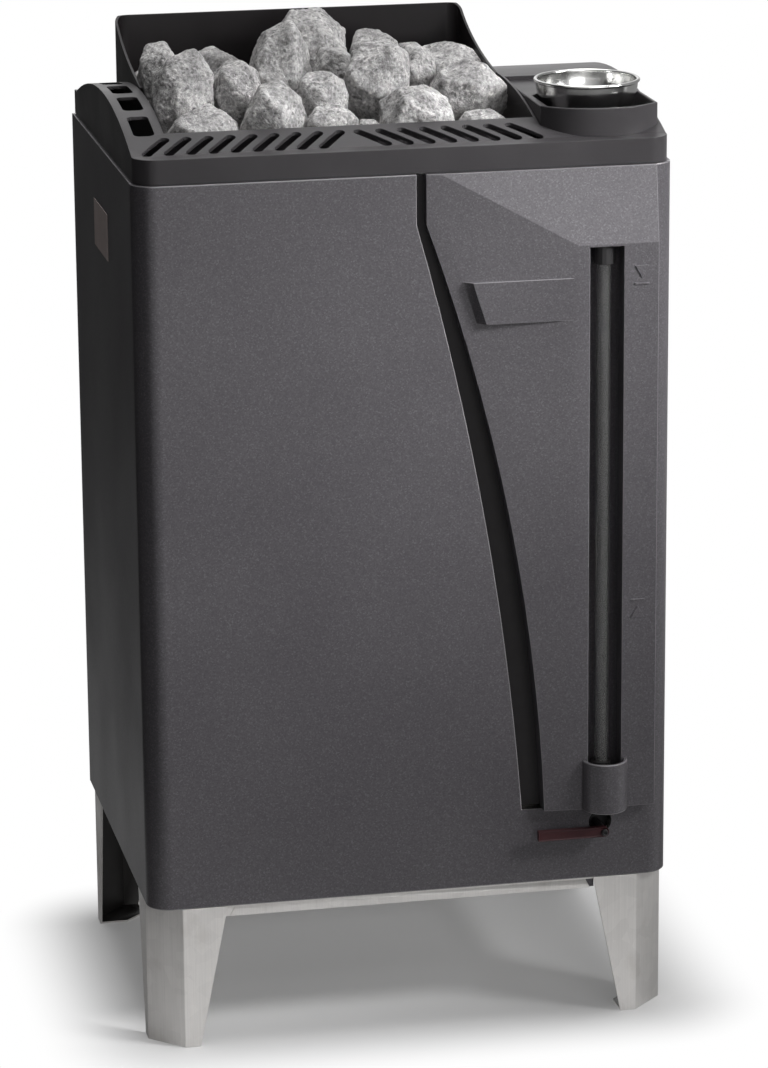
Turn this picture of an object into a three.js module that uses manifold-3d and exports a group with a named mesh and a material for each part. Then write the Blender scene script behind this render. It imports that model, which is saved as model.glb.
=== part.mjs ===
// Sauna heater stove with an evaporator: a powder-coated casing on sheet-metal legs, an open bed of
// stones on top, and on the right a water tank with a sight glass, a drain valve and a cup for herbs.
// Millimetres, +Z up. While the pieces are made, X = 0 is the middle of the casing, Y = 0 its front
// face and Z = 0 the floor. The finished group is then centred on the middle of its own footprint.
import * as THREE from 'three';
import { mergeVertices } from 'three/addons/utils/BufferGeometryUtils.js';
import { ConvexGeometry } from 'three/addons/geometries/ConvexGeometry.js';
import Module from 'manifold-3d';

const wasm = await Module();
wasm.setup();

// Clearances, and how far a cutting solid reaches past what it cuts
const seatGap = 0.3;
const slipGap = 0.4;
const over = 1;

// Casing and rear panel
const casingWidth = 470;
const casingDepth = 370;
const casingHeight = 644;
const casingSheet = 2;
const casingCornerRadius = 21;
const casingFlange = 6;
const louvreWidth = 70;
const louvreHeight = 5;
const louvrePitch = 22;
const louvreRows = 6;
const louvreColumnOffset = 80;
const louvreTopMargin = 60;
const rearScrewInset = 4;
const rearScrewEdge = 40;
const rearScrewHeadRadius = 3.5;
const rearScrewHeadHeight = 2.2;
const rearScrewRadius = 1.5;

// Legs and base tray
const legHeight = 130;
const legSheet = 2;
const legInset = 0.5;
const legFaceTop = 40;
const legFaceBottom = 14;
const legChamfer = 29;
const trayFlangeHeight = 8.5;
const trayFlangeSlant = 5;
const trayFlangeSet = 0.5;
const trayLegGap = 7;
const airIntakeWidth = 230;
const airIntakeDepth = 205;
const airIntakeFront = 90;

// Gauge cover on the front
const coverSheet = 2;
const coverRightInset = 17;
const coverWidth = 202;
const coverBottomHeight = 69;
const coverShoulder = 44;
const coverEdgeRadius = 1780;
const coverSweep = 102;
const bandProud = 12;
const edgeProud = 1;
const topProud = 2;
const coverCurveSegments = 7;
const bandWidth = 71;
const facetHeight = 66;
const grooveTopWidth = 8;
const grooveFootWidth = 18;
const grooveEdgeRadius = 2730;
const grooveDepth = 9;
const coverLap = 5;
const plateLeftInset = 38;
const plateSlant = 12;
const plateHeight = 37;
const plateDrop = 94;
const plateDraft = 8;
const plateSink = 0.3;

// Sight glass
const gaugeInset = 46;
const channelRadius = 15;
const channelTopDrop = 68;
const glassRadius = 6;
const glassWall = 1.5;
const fittingRadius = 9;
const fittingHeight = 16;
const lowerFittingHeight = 36;
const fittingPipeRadius = 5;
const socketRadius = 20;
const socketWall = 3;
const socketHeight = 46;

// Top frame
const frameInset = 2.5;
const frameHeight = 22;
const frameWall = 3;
const frameCornerRadius = 20;
const archRise = 28;
const archFrontMargin = 20;
const archBackMargin = 10;
const archSegments = 9;
const slotLength = 39;
const slotWidth = 8.6;
const slotPitch = 18.95;
const slotCentreY = 37.5;
const slotLeftCount = 9;
const slotRightCount = 8;
const slotCentreGap = 35.5;
const slotMiddleInset = 158;
const slotLeanLeft = 51;
const slotLeanRight = 132;
const ventWidth = 18;
const ventLength = 43;
const ventPitch = 59;
const ventCount = 5;
const ventCentreY = 197.5;
const ventCornerRadius = 5;

// Stone chamber, guard and grate
const chamberLeftInset = 37;
const chamberRightInset = 111;
const chamberFront = 62.4;
const chamberBackInset = 20;
const chamberSheet = 1.5;
const chamberRim = 4;
const chamberHeight = 280;
const ledgeWidth = 4;
const ledgeSheet = 2;
const guardHeight = 91.5;
const guardSheet = 2.5;
const guardCornerRadius = 14;
const guardWing = 155;
const guardWingHeight = 51;
const guardFlat = 5;
const guardSweepBack = 46;
const guardSweepRise = 11;
const grateDrop = 15;
const grateSheet = 3;
const grateBorder = 14;
const grateBar = 9;
const grateGap = 26;

// Heating elements
const elementRadius = 4;
const elementCrown = 16;
const elementBend = 24;
const elementLeftInset = 18;
const elementRightInset = 24;
const elementFrontInset = 75.6;
const elementBackInset = 80;
const elementPlateSheet = 4;
const elementBar = 14;
const elementBorder = 26;
const elementSteps = 36;

// Heat shield
const shieldSheet = 1.2;
const shieldGap = 3;
const shieldFrontGap = 11;
const shieldTopDrop = 30;

// Evaporator hood, tank and cup
const hoodLeftGap = 3;
const hoodRightInset = 5.5;
const hoodBack = 178;
const hoodFrontLeftY = 46;
const hoodFrontY = 20;
const hoodFrontRightY = 40;
const hoodHeight = 46;
const hoodWall = 3;
const hoodFloor = 13;
const hoodRim = 6;
const recessBack = 140;
const recessCornerWidth = 28;
const recessCornerDepth = 40;
const steamSlotLength = 44;
const steamSlotSide = 12;
const steamSlotWidth = 9;
const steamSlotGap = 2;
const cupInset = 51.5;
const cupY = 86;
const cupRimRadius = 46.5;
const cupNeckRadius = 44.6;
const cupBowlDepth = 48;
const cupBowlPoints = 6;
const cupHeight = 46;
const cupWall = 1.2;
const cupRoll = 1.7;
const cupRollPoints = 9;
const tankFrontGap = 2;
const tankBack = 150;
const tankSideGap = 1;
const tankSheet = 1.5;
const tankFootHeight = 30;
const standSheet = 2;
const standInset = 8;
const heaterRadius = 4;
const heaterBend = 18;
const heaterReach = 84;
const heaterSteps = 24;
const heaterRise = 40;
const thermostatRadius = 11;
const thermostatLength = 14;
const thermostatRise = 100;

// Drain valve
const drainOffset = 0.6;
const drainHeight = 52.5;
const drainHoleRadius = 10.5;
const spindleDrop = 5;
const spindleRadius = 3.5;
const valveRadius = 12;
const valveLength = 30;
const leverStandoff = 10;
const leverThickness = 6;
const leverReach = 60;
const leverHeight = 9;
const leverScrewRadius = 2;
const leverScrewHeadRadius = 3.2;
const leverScrewHeadHeight = 2.4;

// Electrical inlet and plates
const boxWidth = 120;
const boxDepth = 54;
const boxHeight = 65;
const boxSheet = 1.5;
const boxBackGap = 6;
const blockWidth = 80;
const blockDepth = 22;
const blockHeight = 24;
const glandRadius = 8;
const glandBore = 4;
const glandNutRadius = 12;
const glandNutLength = 9;
const glandRise = 34;
const ratingWidth = 80;
const ratingHeight = 42;
const ratingSheet = 0.6;
const ratingCentreY = 196;
const ratingDrop = 74;

// Places that follow from the sizes
const halfWidth = casingWidth / 2;
const zBottom = legHeight;
const zTop = legHeight + casingHeight;
const rearInside = casingDepth - casingSheet;
const coverRight = halfWidth - coverRightInset;
const coverLeft = coverRight - coverWidth;
const bandLeft = coverRight - bandWidth;
const plateLeft = coverLeft + plateLeftInset;
const gaugeX = coverRight - gaugeInset;
const drainX = gaugeX - drainOffset;
const chamberLeft = -halfWidth + chamberLeftInset;
const chamberRight = halfWidth - chamberRightInset;
const chamberBack = casingDepth - chamberBackInset;
const slotMiddleX = chamberLeft + slotMiddleInset;
const hoodLeft = chamberRight + hoodLeftGap;
const hoodRight = halfWidth - hoodRightInset;
const cupX = hoodRight - cupInset;
const casingBack = rearInside - seatGap;
const trayTop = zBottom - seatGap;
const coverBottom = zBottom + coverBottomHeight;
const coverBack = grooveDepth + seatGap + coverSheet;
const drainZ = zBottom + drainHeight;
const spindleZ = drainZ - spindleDrop;
const grateTop = zTop - grateDrop;
const chamberTop = zTop + chamberRim;
const chamberBottom = chamberTop - chamberHeight;
const hoodBottom = zTop + hoodFloor;
const recessFloor = hoodBottom + hoodWall;
const tankLeft = hoodLeft + hoodRim;
const tankRight = halfWidth - casingFlange - tankSideGap;
const tankFront = Math.max(hoodFrontLeftY, hoodFrontRightY) + tankFrontGap;
const tankBottom = zBottom + tankFootHeight;
const tankTop = hoodBottom - seatGap;
const shieldLeft = chamberLeft - shieldFrontGap;
const shieldRight = chamberRight + shieldGap;
const shieldFront = chamberFront - shieldFrontGap;
const shieldBack = chamberBack + shieldGap;

// Joins and cuts closed meshes.
function toSolid(geometry) {
  const bare = geometry.index ? geometry.toNonIndexed() : geometry.clone();
  bare.deleteAttribute('normal');
  bare.deleteAttribute('uv');
  const merged = mergeVertices(bare, 1e-4);
  const mesh = new wasm.Mesh({
    numProp: 3,
    vertProperties: merged.attributes.position.array,
    triVerts: new Uint32Array(merged.index.array),
  });
  return new wasm.Manifold(mesh);
}

function toGeometry(solid) {
  const { vertProperties, triVerts } = solid.getMesh();
  const geometry = new THREE.BufferGeometry();
  geometry.setAttribute('position', new THREE.BufferAttribute(vertProperties, 3));
  geometry.setIndex(new THREE.BufferAttribute(triVerts, 1));
  geometry.computeVertexNormals();
  return geometry;
}

// Basic solids. A shape is drawn in X and Y, in X and Z, or in Y and Z, and then given its depth.
function extruded(shape, depth, curveSegments = 8) {
  return new THREE.ExtrudeGeometry(shape, { depth, bevelEnabled: false, curveSegments });
}

function standing(shape, z0, z1, segments) {
  return toSolid(extruded(shape, z1 - z0, segments).translate(0, 0, z0));
}

function facing(shape, y0, y1, segments) {
  const geometry = extruded(shape, y1 - y0, segments).rotateX(Math.PI / 2);
  return toSolid(geometry.translate(0, y1, 0));
}

function sideways(shape, x0, x1, segments) {
  const geometry = extruded(shape, x1 - x0, segments).rotateX(Math.PI / 2).rotateZ(Math.PI / 2);
  return toSolid(geometry.translate(x0, 0, 0));
}

function block(x0, x1, y0, y1, z0, z1) {
  const geometry = new THREE.BoxGeometry(x1 - x0, y1 - y0, z1 - z0);
  return toSolid(geometry.translate((x0 + x1) / 2, (y0 + y1) / 2, (z0 + z1) / 2));
}

function uprightRod(x, y, radius, z0, z1, sides = 16) {
  const geometry = new THREE.CylinderGeometry(radius, radius, z1 - z0, sides).rotateX(Math.PI / 2);
  return toSolid(geometry.translate(x, y, (z0 + z1) / 2));
}

function levelRod(x, z, radius, y0, y1, sides = 16) {
  const geometry = new THREE.CylinderGeometry(radius, radius, y1 - y0, sides);
  return toSolid(geometry.translate(x, (y0 + y1) / 2, z));
}

function convex(points) {
  return toSolid(new ConvexGeometry(points.map(([x, y, z]) => new THREE.Vector3(x, y, z))));
}

function polygon(points) {
  return new THREE.Shape(points.map(([x, y]) => new THREE.Vector2(x, y)));
}

function rectangle(x0, x1, y0, y1) {
  return polygon([[x0, y0], [x1, y0], [x1, y1], [x0, y1]]);
}

function roundedRectangle(x0, x1, y0, y1, radius) {
  const shape = new THREE.Shape();
  shape.absarc(x0 + radius, y0 + radius, radius, Math.PI, 1.5 * Math.PI);
  shape.absarc(x1 - radius, y0 + radius, radius, 1.5 * Math.PI, 2 * Math.PI);
  shape.absarc(x1 - radius, y1 - radius, radius, 0, 0.5 * Math.PI);
  shape.absarc(x0 + radius, y1 - radius, radius, 0.5 * Math.PI, Math.PI);
  return shape;
}

function tube(path, radius, steps, sides = 8) {
  const corners = Array.from({ length: sides }, (_, i) => (2 * Math.PI * i) / sides);
  const section = polygon(corners.map((angle) => [radius * Math.cos(angle), radius * Math.sin(angle)]));
  return new THREE.ExtrudeGeometry(section, { steps, extrudePath: path });
}

// A run of straight lines whose corners are rounded.
function bentPath(corners, bend) {
  const path = new THREE.CurvePath();
  const points = corners.map(([x, y, z]) => new THREE.Vector3(x, y, z));
  let from = points[0];
  for (let i = 1; i < points.length - 1; i += 1) {
    const before = points[i].clone().sub(points[i - 1]).setLength(bend);
    const after = points[i + 1].clone().sub(points[i]).setLength(bend);
    const start = points[i].clone().sub(before);
    const end = points[i].clone().add(after);
    path.add(new THREE.LineCurve3(from, start));
    path.add(new THREE.QuadraticBezierCurve3(start, points[i], end));
    from = end;
  }
  path.add(new THREE.LineCurve3(from, points[points.length - 1]));
  return path;
}

// Finishes
const coat = (color, roughness, metalness) => new THREE.MeshStandardMaterial({ color, roughness, metalness });
const anthracite = () => coat('#4a4a4d', 0.55, 0.3);
const frameBlack = () => coat('#37373a', 0.6, 0.2);
const galvanised = () => coat('#a9a9a4', 0.4, 0.9);
const stainless = () => coat('#c9c9c9', 0.15, 1);
const heatSteel = () => coat('#5f6266', 0.4, 0.9);
const clearGlass = () => coat('#dfe6e6', 0.05, 0);
const redPlastic = () => coat('#5a2328', 0.45, 0);
const blackPlastic = () => coat('#1d1d1f', 0.5, 0);
const palePlastic = () => coat('#d8d4c8', 0.5, 0);
const granite = () => coat('#a8a8a6', 0.95, 0);
const plateSilver = () => coat('#77736f', 0.5, 0.4);

const stove = new THREE.Group();

function addPiece(name, shape, material) {
  const geometry = shape.isBufferGeometry ? shape : toGeometry(shape);
  const mesh = new THREE.Mesh(geometry, material);
  mesh.name = name;
  stove.add(mesh);
}

// Left edges of the gauge cover and of the groove beside it, seen from the front: each is a short
// upright and then one long arc. The centres lie far to the left, and the groove widens downwards.
function sweptEdge(left, foot, radius) {
  const start = new THREE.Vector2(left, zTop - coverShoulder);
  const end = new THREE.Vector2(foot, coverBottom);
  const chord = end.clone().sub(start);
  const toCentre = Math.sqrt(radius ** 2 - chord.lengthSq() / 4);
  const normal = new THREE.Vector2(chord.y, -chord.x).normalize();
  const centre = start.clone().add(end).divideScalar(2).addScaledVector(normal, toCentre);
  return { left, radius, centre };
}

const coverEdge = sweptEdge(coverLeft, coverLeft + coverSweep, coverEdgeRadius);
const grooveEdge = sweptEdge(coverLeft - grooveTopWidth, coverLeft + coverSweep - grooveFootWidth,
  grooveEdgeRadius);

function edgeDown(shape, edge, offset, top, bottom) {
  const radius = edge.radius - offset;
  const x = edge.left - offset;
  const from = Math.acos((x - edge.centre.x) / radius);
  const to = Math.asin((bottom - edge.centre.y) / radius);
  shape.moveTo(x, top);
  shape.lineTo(x, edge.centre.y + radius * Math.sin(from));
  shape.absarc(edge.centre.x, edge.centre.y, radius, from, to, true);
}

function edgeUp(shape, edge, offset, top, bottom) {
  const radius = edge.radius - offset;
  const x = edge.left - offset;
  const from = Math.asin((bottom - edge.centre.y) / radius);
  const to = Math.acos((x - edge.centre.x) / radius);
  shape.absarc(edge.centre.x, edge.centre.y, radius, from, to, false);
  shape.lineTo(x, top);
}

function coverOutline(edge, offset, right, top, bottom) {
  const shape = new THREE.Shape();
  edgeDown(shape, edge, offset, top, bottom);
  shape.lineTo(right, bottom);
  shape.lineTo(right, top);
  return shape;
}

// Strip from the groove's edge, moved out by an offset, to the cover's edge, moved in by another.
function edgeStrip(outward, inward, top, bottom) {
  const shape = new THREE.Shape();
  edgeDown(shape, coverEdge, -inward, top, bottom);
  edgeUp(shape, grooveEdge, outward, top, bottom);
  return shape;
}

// Casing: one sheet folded round the front and the sides, with a returned lip on every edge.
function casingOutline(inset, back = casingBack - inset) {
  const x = halfWidth - inset;
  const r = casingCornerRadius - inset;
  const shape = new THREE.Shape();
  shape.absarc(-x + r, inset + r, r, Math.PI, 1.5 * Math.PI);
  shape.absarc(x - r, inset + r, r, 1.5 * Math.PI, 2 * Math.PI);
  shape.lineTo(x, back);
  shape.lineTo(-x, back);
  return shape;
}

function makeCasing() {
  const notchBottom = coverBottom - slipGap;
  const notch = coverOutline(grooveEdge, 0, coverRight + slipGap, zTop + over, notchBottom);
  const fold = edgeStrip(casingSheet, 0, zTop + over, notchBottom);
  const room = standing(casingOutline(casingSheet), zBottom + casingSheet, zTop - casingSheet)
    .subtract(facing(fold, -over, grooveDepth, coverCurveSegments));
  const opening = standing(casingOutline(casingFlange, casingBack + over), zBottom - over, zTop + over);
  const casing = standing(casingOutline(0), zBottom, zTop)
    .subtract(room)
    .subtract(opening)
    .subtract(facing(notch, -over, casingFlange + over, coverCurveSegments))
    .subtract(levelRod(drainX, drainZ, drainHoleRadius, -over, casingSheet + over, 20));
  addPiece('casing', casing, anthracite());
}

const rearScrewPlaces = [-1, 1].flatMap((side) => [zBottom + rearScrewEdge, zTop - rearScrewEdge]
  .map((z) => [side * (halfWidth - rearScrewInset), z]));

function makeRearPanel() {
  const shape = rectangle(-halfWidth, halfWidth, zBottom, zTop);
  let panel = facing(shape, rearInside, casingDepth);
  for (const column of [-louvreColumnOffset, louvreColumnOffset]) {
    for (let row = 0; row < louvreRows; row += 1) {
      const z = zTop - louvreTopMargin - row * louvrePitch;
      const x0 = column - louvreWidth / 2;
      const x1 = column + louvreWidth / 2;
      panel = panel.subtract(block(x0, x1, rearInside - over, casingDepth + over, z - louvreHeight, z));
    }
  }
  const glandZ = trayTop + glandRise;
  panel = panel.subtract(levelRod(0, glandZ, glandRadius + slipGap, rearInside - over, casingDepth + over));
  for (const [x, z] of rearScrewPlaces) {
    const hole = rearScrewRadius + slipGap;
    panel = panel.subtract(levelRod(x, z, hole, rearInside - over, casingDepth + over, 8));
  }
  addPiece('rear_panel', panel, galvanised());
  rearScrewPlaces.forEach(([x, z], i) => {
    const head = casingDepth + seatGap;
    const screw = levelRod(x, z, rearScrewHeadRadius, head, head + rearScrewHeadHeight, 12)
      .add(levelRod(x, z, rearScrewRadius, rearInside, head + rearScrewHeadHeight / 2, 8));
    addPiece(`rear_screw_${i + 1}`, screw, stainless());
  });
}

// Legs: sheet folded to a front face, a slanting corner face and a side face, which taper to the foot,
// with a plate across the foot and one under the tray. Measured from the casing's corner.
function legOutline(inset, reach) {
  const face = legInset + inset;
  const fold = legInset + legChamfer;
  return [[reach, face], [fold, face], [face, fold], [face, reach]];
}

function makeLeg(name, sideX, sideY) {
  const placeX = (x) => sideX * (halfWidth - x);
  const placeY = (y) => (sideY < 0 ? y : casingDepth - y);
  const placed = (points) => polygon(points.map(([x, y]) => [placeX(x), placeY(y)]));
  const foot = legInset + legChamfer + legFaceBottom;
  const reach = legInset + legChamfer + legFaceTop;
  const beyond = reach + over;
  const room = placed([...legOutline(legSheet, beyond), [beyond, beyond]]);
  const flangeTop = trayTop - legSheet - seatGap;
  const taper = [[beyond, trayTop + over], [reach, trayTop], [foot, 0], [foot, -over], [beyond, -over]];
  const [y0, y1] = [placeY(-over), placeY(beyond)].sort((a, b) => a - b);
  const [x0, x1] = [placeX(-over), placeX(beyond)].sort((a, b) => a - b);
  const leg = standing(placed(legOutline(0, reach)), 0, trayTop)
    .subtract(standing(room, legSheet, flangeTop - legSheet))
    .subtract(standing(room, flangeTop, trayTop + over))
    .subtract(facing(polygon(taper.map(([x, z]) => [placeX(x), z])), y0, y1))
    .subtract(sideways(polygon(taper.map(([y, z]) => [placeY(y), z])), x0, x1));
  addPiece(name, leg, galvanised());
}

function makeBaseTray() {
  const edge = legInset + legSheet + slipGap;
  const x1 = halfWidth - edge;
  const y0 = edge;
  const y1 = casingDepth - edge;
  const cut = legChamfer;
  const plateShape = polygon([
    [-x1 + cut, y0], [x1 - cut, y0], [x1, y0 + cut], [x1, y1 - cut],
    [x1 - cut, y1], [-x1 + cut, y1], [-x1, y1 - cut], [-x1, y0 + cut],
  ]);
  const centre = (chamberLeft + chamberRight) / 2;
  const intakeLeft = centre - airIntakeWidth / 2;
  const intake = block(intakeLeft, intakeLeft + airIntakeWidth,
    airIntakeFront, airIntakeFront + airIntakeDepth, 0, zBottom + over);
  const plateBottom = trayTop - legSheet;
  const flangeEnd = halfWidth - legInset - legChamfer - legFaceTop - trayLegGap;
  const flangeShape = polygon([
    [-flangeEnd, plateBottom + over], [flangeEnd, plateBottom + over],
    [flangeEnd + trayFlangeSlant, plateBottom - trayFlangeHeight],
    [-flangeEnd - trayFlangeSlant, plateBottom - trayFlangeHeight],
  ]);
  const tray = standing(plateShape, plateBottom, trayTop)
    .subtract(intake)
    .add(facing(flangeShape, y0 + trayFlangeSet, y0 + trayFlangeSet + legSheet))
    .add(facing(flangeShape, y1 - trayFlangeSet - legSheet, y1 - trayFlangeSet));
  addPiece('base_tray', tray, galvanised());
}

// Gauge cover: a raised trim with a slanting main face, an upper facet and a flat band, open at the back.
function slopeAt(x) {
  return -edgeProud - ((bandProud - edgeProud) * (x - coverLeft)) / (bandLeft - coverLeft);
}

function coverEnvelope(inset, back) {
  const slopeFrom = coverLeft - grooveTopWidth;
  const wide = coverRight + bandProud;
  const plan = polygon([
    [slopeFrom, back], [slopeFrom, slopeAt(slopeFrom) + inset],
    [bandLeft, -bandProud + inset], [wide, -bandProud + inset], [wide, back],
  ]);
  const low = coverBottom - bandProud;
  const high = zTop + bandProud;
  const side = polygon([
    [back + over, low - over], [-bandProud + inset, low - over], [-bandProud + inset, zTop - facetHeight],
    [-topProud + inset, zTop], [-topProud + inset, high + over], [back + over, high + over],
  ]);
  return standing(plan, low, high).intersect(sideways(side, slopeFrom - over, wide + over));
}

function channelShape(radius, front) {
  const shape = new THREE.Shape();
  shape.absarc(gaugeX, 0, radius, Math.PI, 0, true);
  shape.lineTo(gaugeX + radius, front);
  shape.lineTo(gaugeX - radius, front);
  return shape;
}

const channelTop = zTop - channelTopDrop;
const channelBottom = coverBottom + coverSheet + socketWall;
const lowerFittingZ = channelBottom + lowerFittingHeight;
const upperFittingZ = channelTop - seatGap - fittingHeight;
const lowerPipeZ = channelBottom + lowerFittingHeight / 2;
const upperPipeZ = upperFittingZ + fittingHeight / 2;

function makeGaugeCover() {
  const deep = channelRadius + coverSheet + over;
  const front = -bandProud - over;
  const mid = coverSheet / 2;
  const face = coverOutline(coverEdge, 0, coverRight, zTop, coverBottom);
  const hollow = coverOutline(coverEdge, -coverSheet, coverRight - coverSheet,
    zTop - coverSheet, coverBottom + coverSheet);
  const outer = facing(face, front, coverBack - mid, coverCurveSegments).intersect(coverEnvelope(0, deep));
  const inner = facing(hollow, front, coverBack + over, coverCurveSegments)
    .intersect(coverEnvelope(coverSheet, deep));
  const trough = standing(channelShape(channelRadius + coverSheet, -bandProud + mid),
    coverBottom + mid, channelTop + coverSheet);
  const channel = standing(channelShape(channelRadius, front), channelBottom, channelTop);
  const lapTop = zTop - casingSheet - seatGap;
  const lap = facing(edgeStrip(coverLap, mid, lapTop, coverBottom + mid),
    coverBack - coverSheet, coverBack, coverCurveSegments);
  const plateTop = zTop - plateDrop;
  const plateLow = plateTop - plateHeight;
  const plateFace = -bandProud + plateSink;
  const upperLeft = plateLeft - plateDraft;
  const lowerLeft = plateLeft + plateSlant - plateDraft;
  const plate = convex([
    [plateLeft, plateFace, plateTop], [plateLeft + plateSlant, plateFace, plateLow],
    [bandLeft, plateFace, plateTop], [bandLeft, plateFace, plateLow],
    [upperLeft, slopeAt(upperLeft) + mid, plateTop], [lowerLeft, slopeAt(lowerLeft) + mid, plateLow],
    [bandLeft, -bandProud + mid, plateTop], [bandLeft, -bandProud + mid, plateLow],
  ]);
  let cover = outer.subtract(inner).add(trough).add(lap).add(plate).subtract(channel);
  for (const z of [lowerPipeZ, upperPipeZ]) {
    cover = cover.subtract(levelRod(gaugeX, z, fittingPipeRadius + slipGap, 0, 2 * deep, 12));
  }
  addPiece('gauge_cover', cover, anthracite());
}

function halfDisc(radius, back) {
  const shape = new THREE.Shape();
  shape.absarc(gaugeX, back, radius, Math.PI, 2 * Math.PI);
  return shape;
}

function makeGauge() {
  const socketBack = -bandProud - seatGap;
  const socketTop = coverBottom + socketHeight;
  const socket = standing(halfDisc(socketRadius, socketBack), coverBottom, socketTop, 16)
    .subtract(standing(halfDisc(socketRadius - socketWall, socketBack), coverBottom + socketWall,
      socketTop + over, 16));
  addPiece('gauge_socket', socket, anthracite());

  const pipeEnd = tankFront - seatGap;
  const lower = uprightRod(gaugeX, 0, fittingRadius, channelBottom + seatGap, lowerFittingZ)
    .add(levelRod(gaugeX, lowerPipeZ, fittingPipeRadius, 0, pipeEnd, 12));
  addPiece('gauge_lower_fitting', lower, blackPlastic());
  const upper = uprightRod(gaugeX, 0, fittingRadius, upperFittingZ, upperFittingZ + fittingHeight)
    .add(levelRod(gaugeX, upperPipeZ, fittingPipeRadius, 0, pipeEnd, 12));
  addPiece('gauge_upper_fitting', upper, blackPlastic());

  const ring = new THREE.Shape();
  ring.absarc(gaugeX, 0, glassRadius, 0, 2 * Math.PI);
  const bore = new THREE.Path();
  bore.absarc(gaugeX, 0, glassRadius - glassWall, 0, 2 * Math.PI);
  ring.holes.push(bore);
  addPiece('sight_glass', standing(ring, lowerFittingZ + seatGap, upperFittingZ - seatGap, 8), clearGlass());
}

// Top frame: a thin casting whose top is arched from front to back and pierced by air slots.
const frameFront = frameInset;
const frameBack = casingDepth - frameInset;
const archFrom = frameFront + archFrontMargin;
const archTo = frameBack - archBackMargin;
const archHalf = (archTo - archFrom) / 2;
const archRadius = (archHalf ** 2 + archRise ** 2) / (2 * archRise);
const archCentreY = (archFrom + archTo) / 2;
const archCentreZ = zTop + frameHeight + archRise - archRadius;
const archAngle = Math.asin(archHalf / archRadius);

function frameProfile(inset, bottom) {
  const level = zTop + frameHeight - inset;
  const radius = archRadius - inset;
  const shape = new THREE.Shape();
  shape.moveTo(frameFront - over, bottom - over);
  shape.lineTo(frameFront - over, level);
  const from = Math.PI / 2 + archAngle;
  const to = Math.PI / 2 - archAngle;
  shape.absarc(archCentreY, archCentreZ, radius, from, to, true);
  shape.lineTo(frameBack + over, level);
  shape.lineTo(frameBack + over, bottom - over);
  return shape;
}

function framePlan(inset) {
  const x = halfWidth - frameInset - inset;
  const r = frameCornerRadius - inset;
  const shape = new THREE.Shape();
  shape.absarc(-x + r, frameFront + inset + r, r, Math.PI, 1.5 * Math.PI);
  shape.absarc(x - r, frameFront + inset + r, r, 1.5 * Math.PI, 2 * Math.PI);
  shape.lineTo(x, frameBack - inset);
  shape.lineTo(-x, frameBack - inset);
  return shape;
}

function frameForm(inset, bottom) {
  const high = zTop + frameHeight + archRise + over;
  return sideways(frameProfile(inset, bottom), -halfWidth, halfWidth, archSegments)
    .intersect(standing(framePlan(inset), bottom, high));
}

// Outline of the hood, grown by offset: straight sides and back, and a front in one arc.
function hoodOutline(offset, back, left) {
  const a = new THREE.Vector2(hoodLeft, hoodFrontLeftY);
  const b = new THREE.Vector2((hoodLeft + hoodRight) / 2, hoodFrontY);
  const c = new THREE.Vector2(hoodRight, hoodFrontRightY);
  const d = 2 * (a.x * (b.y - c.y) + b.x * (c.y - a.y) + c.x * (a.y - b.y));
  const centre = new THREE.Vector2(
    (a.lengthSq() * (b.y - c.y) + b.lengthSq() * (c.y - a.y) + c.lengthSq() * (a.y - b.y)) / d,
    (a.lengthSq() * (c.x - b.x) + b.lengthSq() * (a.x - c.x) + c.lengthSq() * (b.x - a.x)) / d,
  );
  const radius = centre.distanceTo(a) + offset;
  const right = hoodRight + offset;
  const from = -Math.acos((left - centre.x) / radius);
  const to = -Math.acos((right - centre.x) / radius);
  const shape = new THREE.Shape();
  shape.absarc(centre.x, centre.y, radius, from, to, false);
  shape.lineTo(right, back);
  shape.lineTo(left, back);
  return shape;
}

function slot(x, lean) {
  const reach = (slotLength - slotWidth) / 2;
  const angle = THREE.MathUtils.degToRad(lean);
  const shape = new THREE.Shape();
  const [dx, dy] = [Math.cos(angle) * reach, Math.sin(angle) * reach];
  shape.absarc(x + dx, slotCentreY + dy, slotWidth / 2, angle - Math.PI / 2, angle + Math.PI / 2);
  shape.absarc(x - dx, slotCentreY - dy, slotWidth / 2, angle + Math.PI / 2, angle + 1.5 * Math.PI);
  return standing(shape, zTop + frameWall, zTop + frameHeight + archRise, 3);
}

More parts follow.
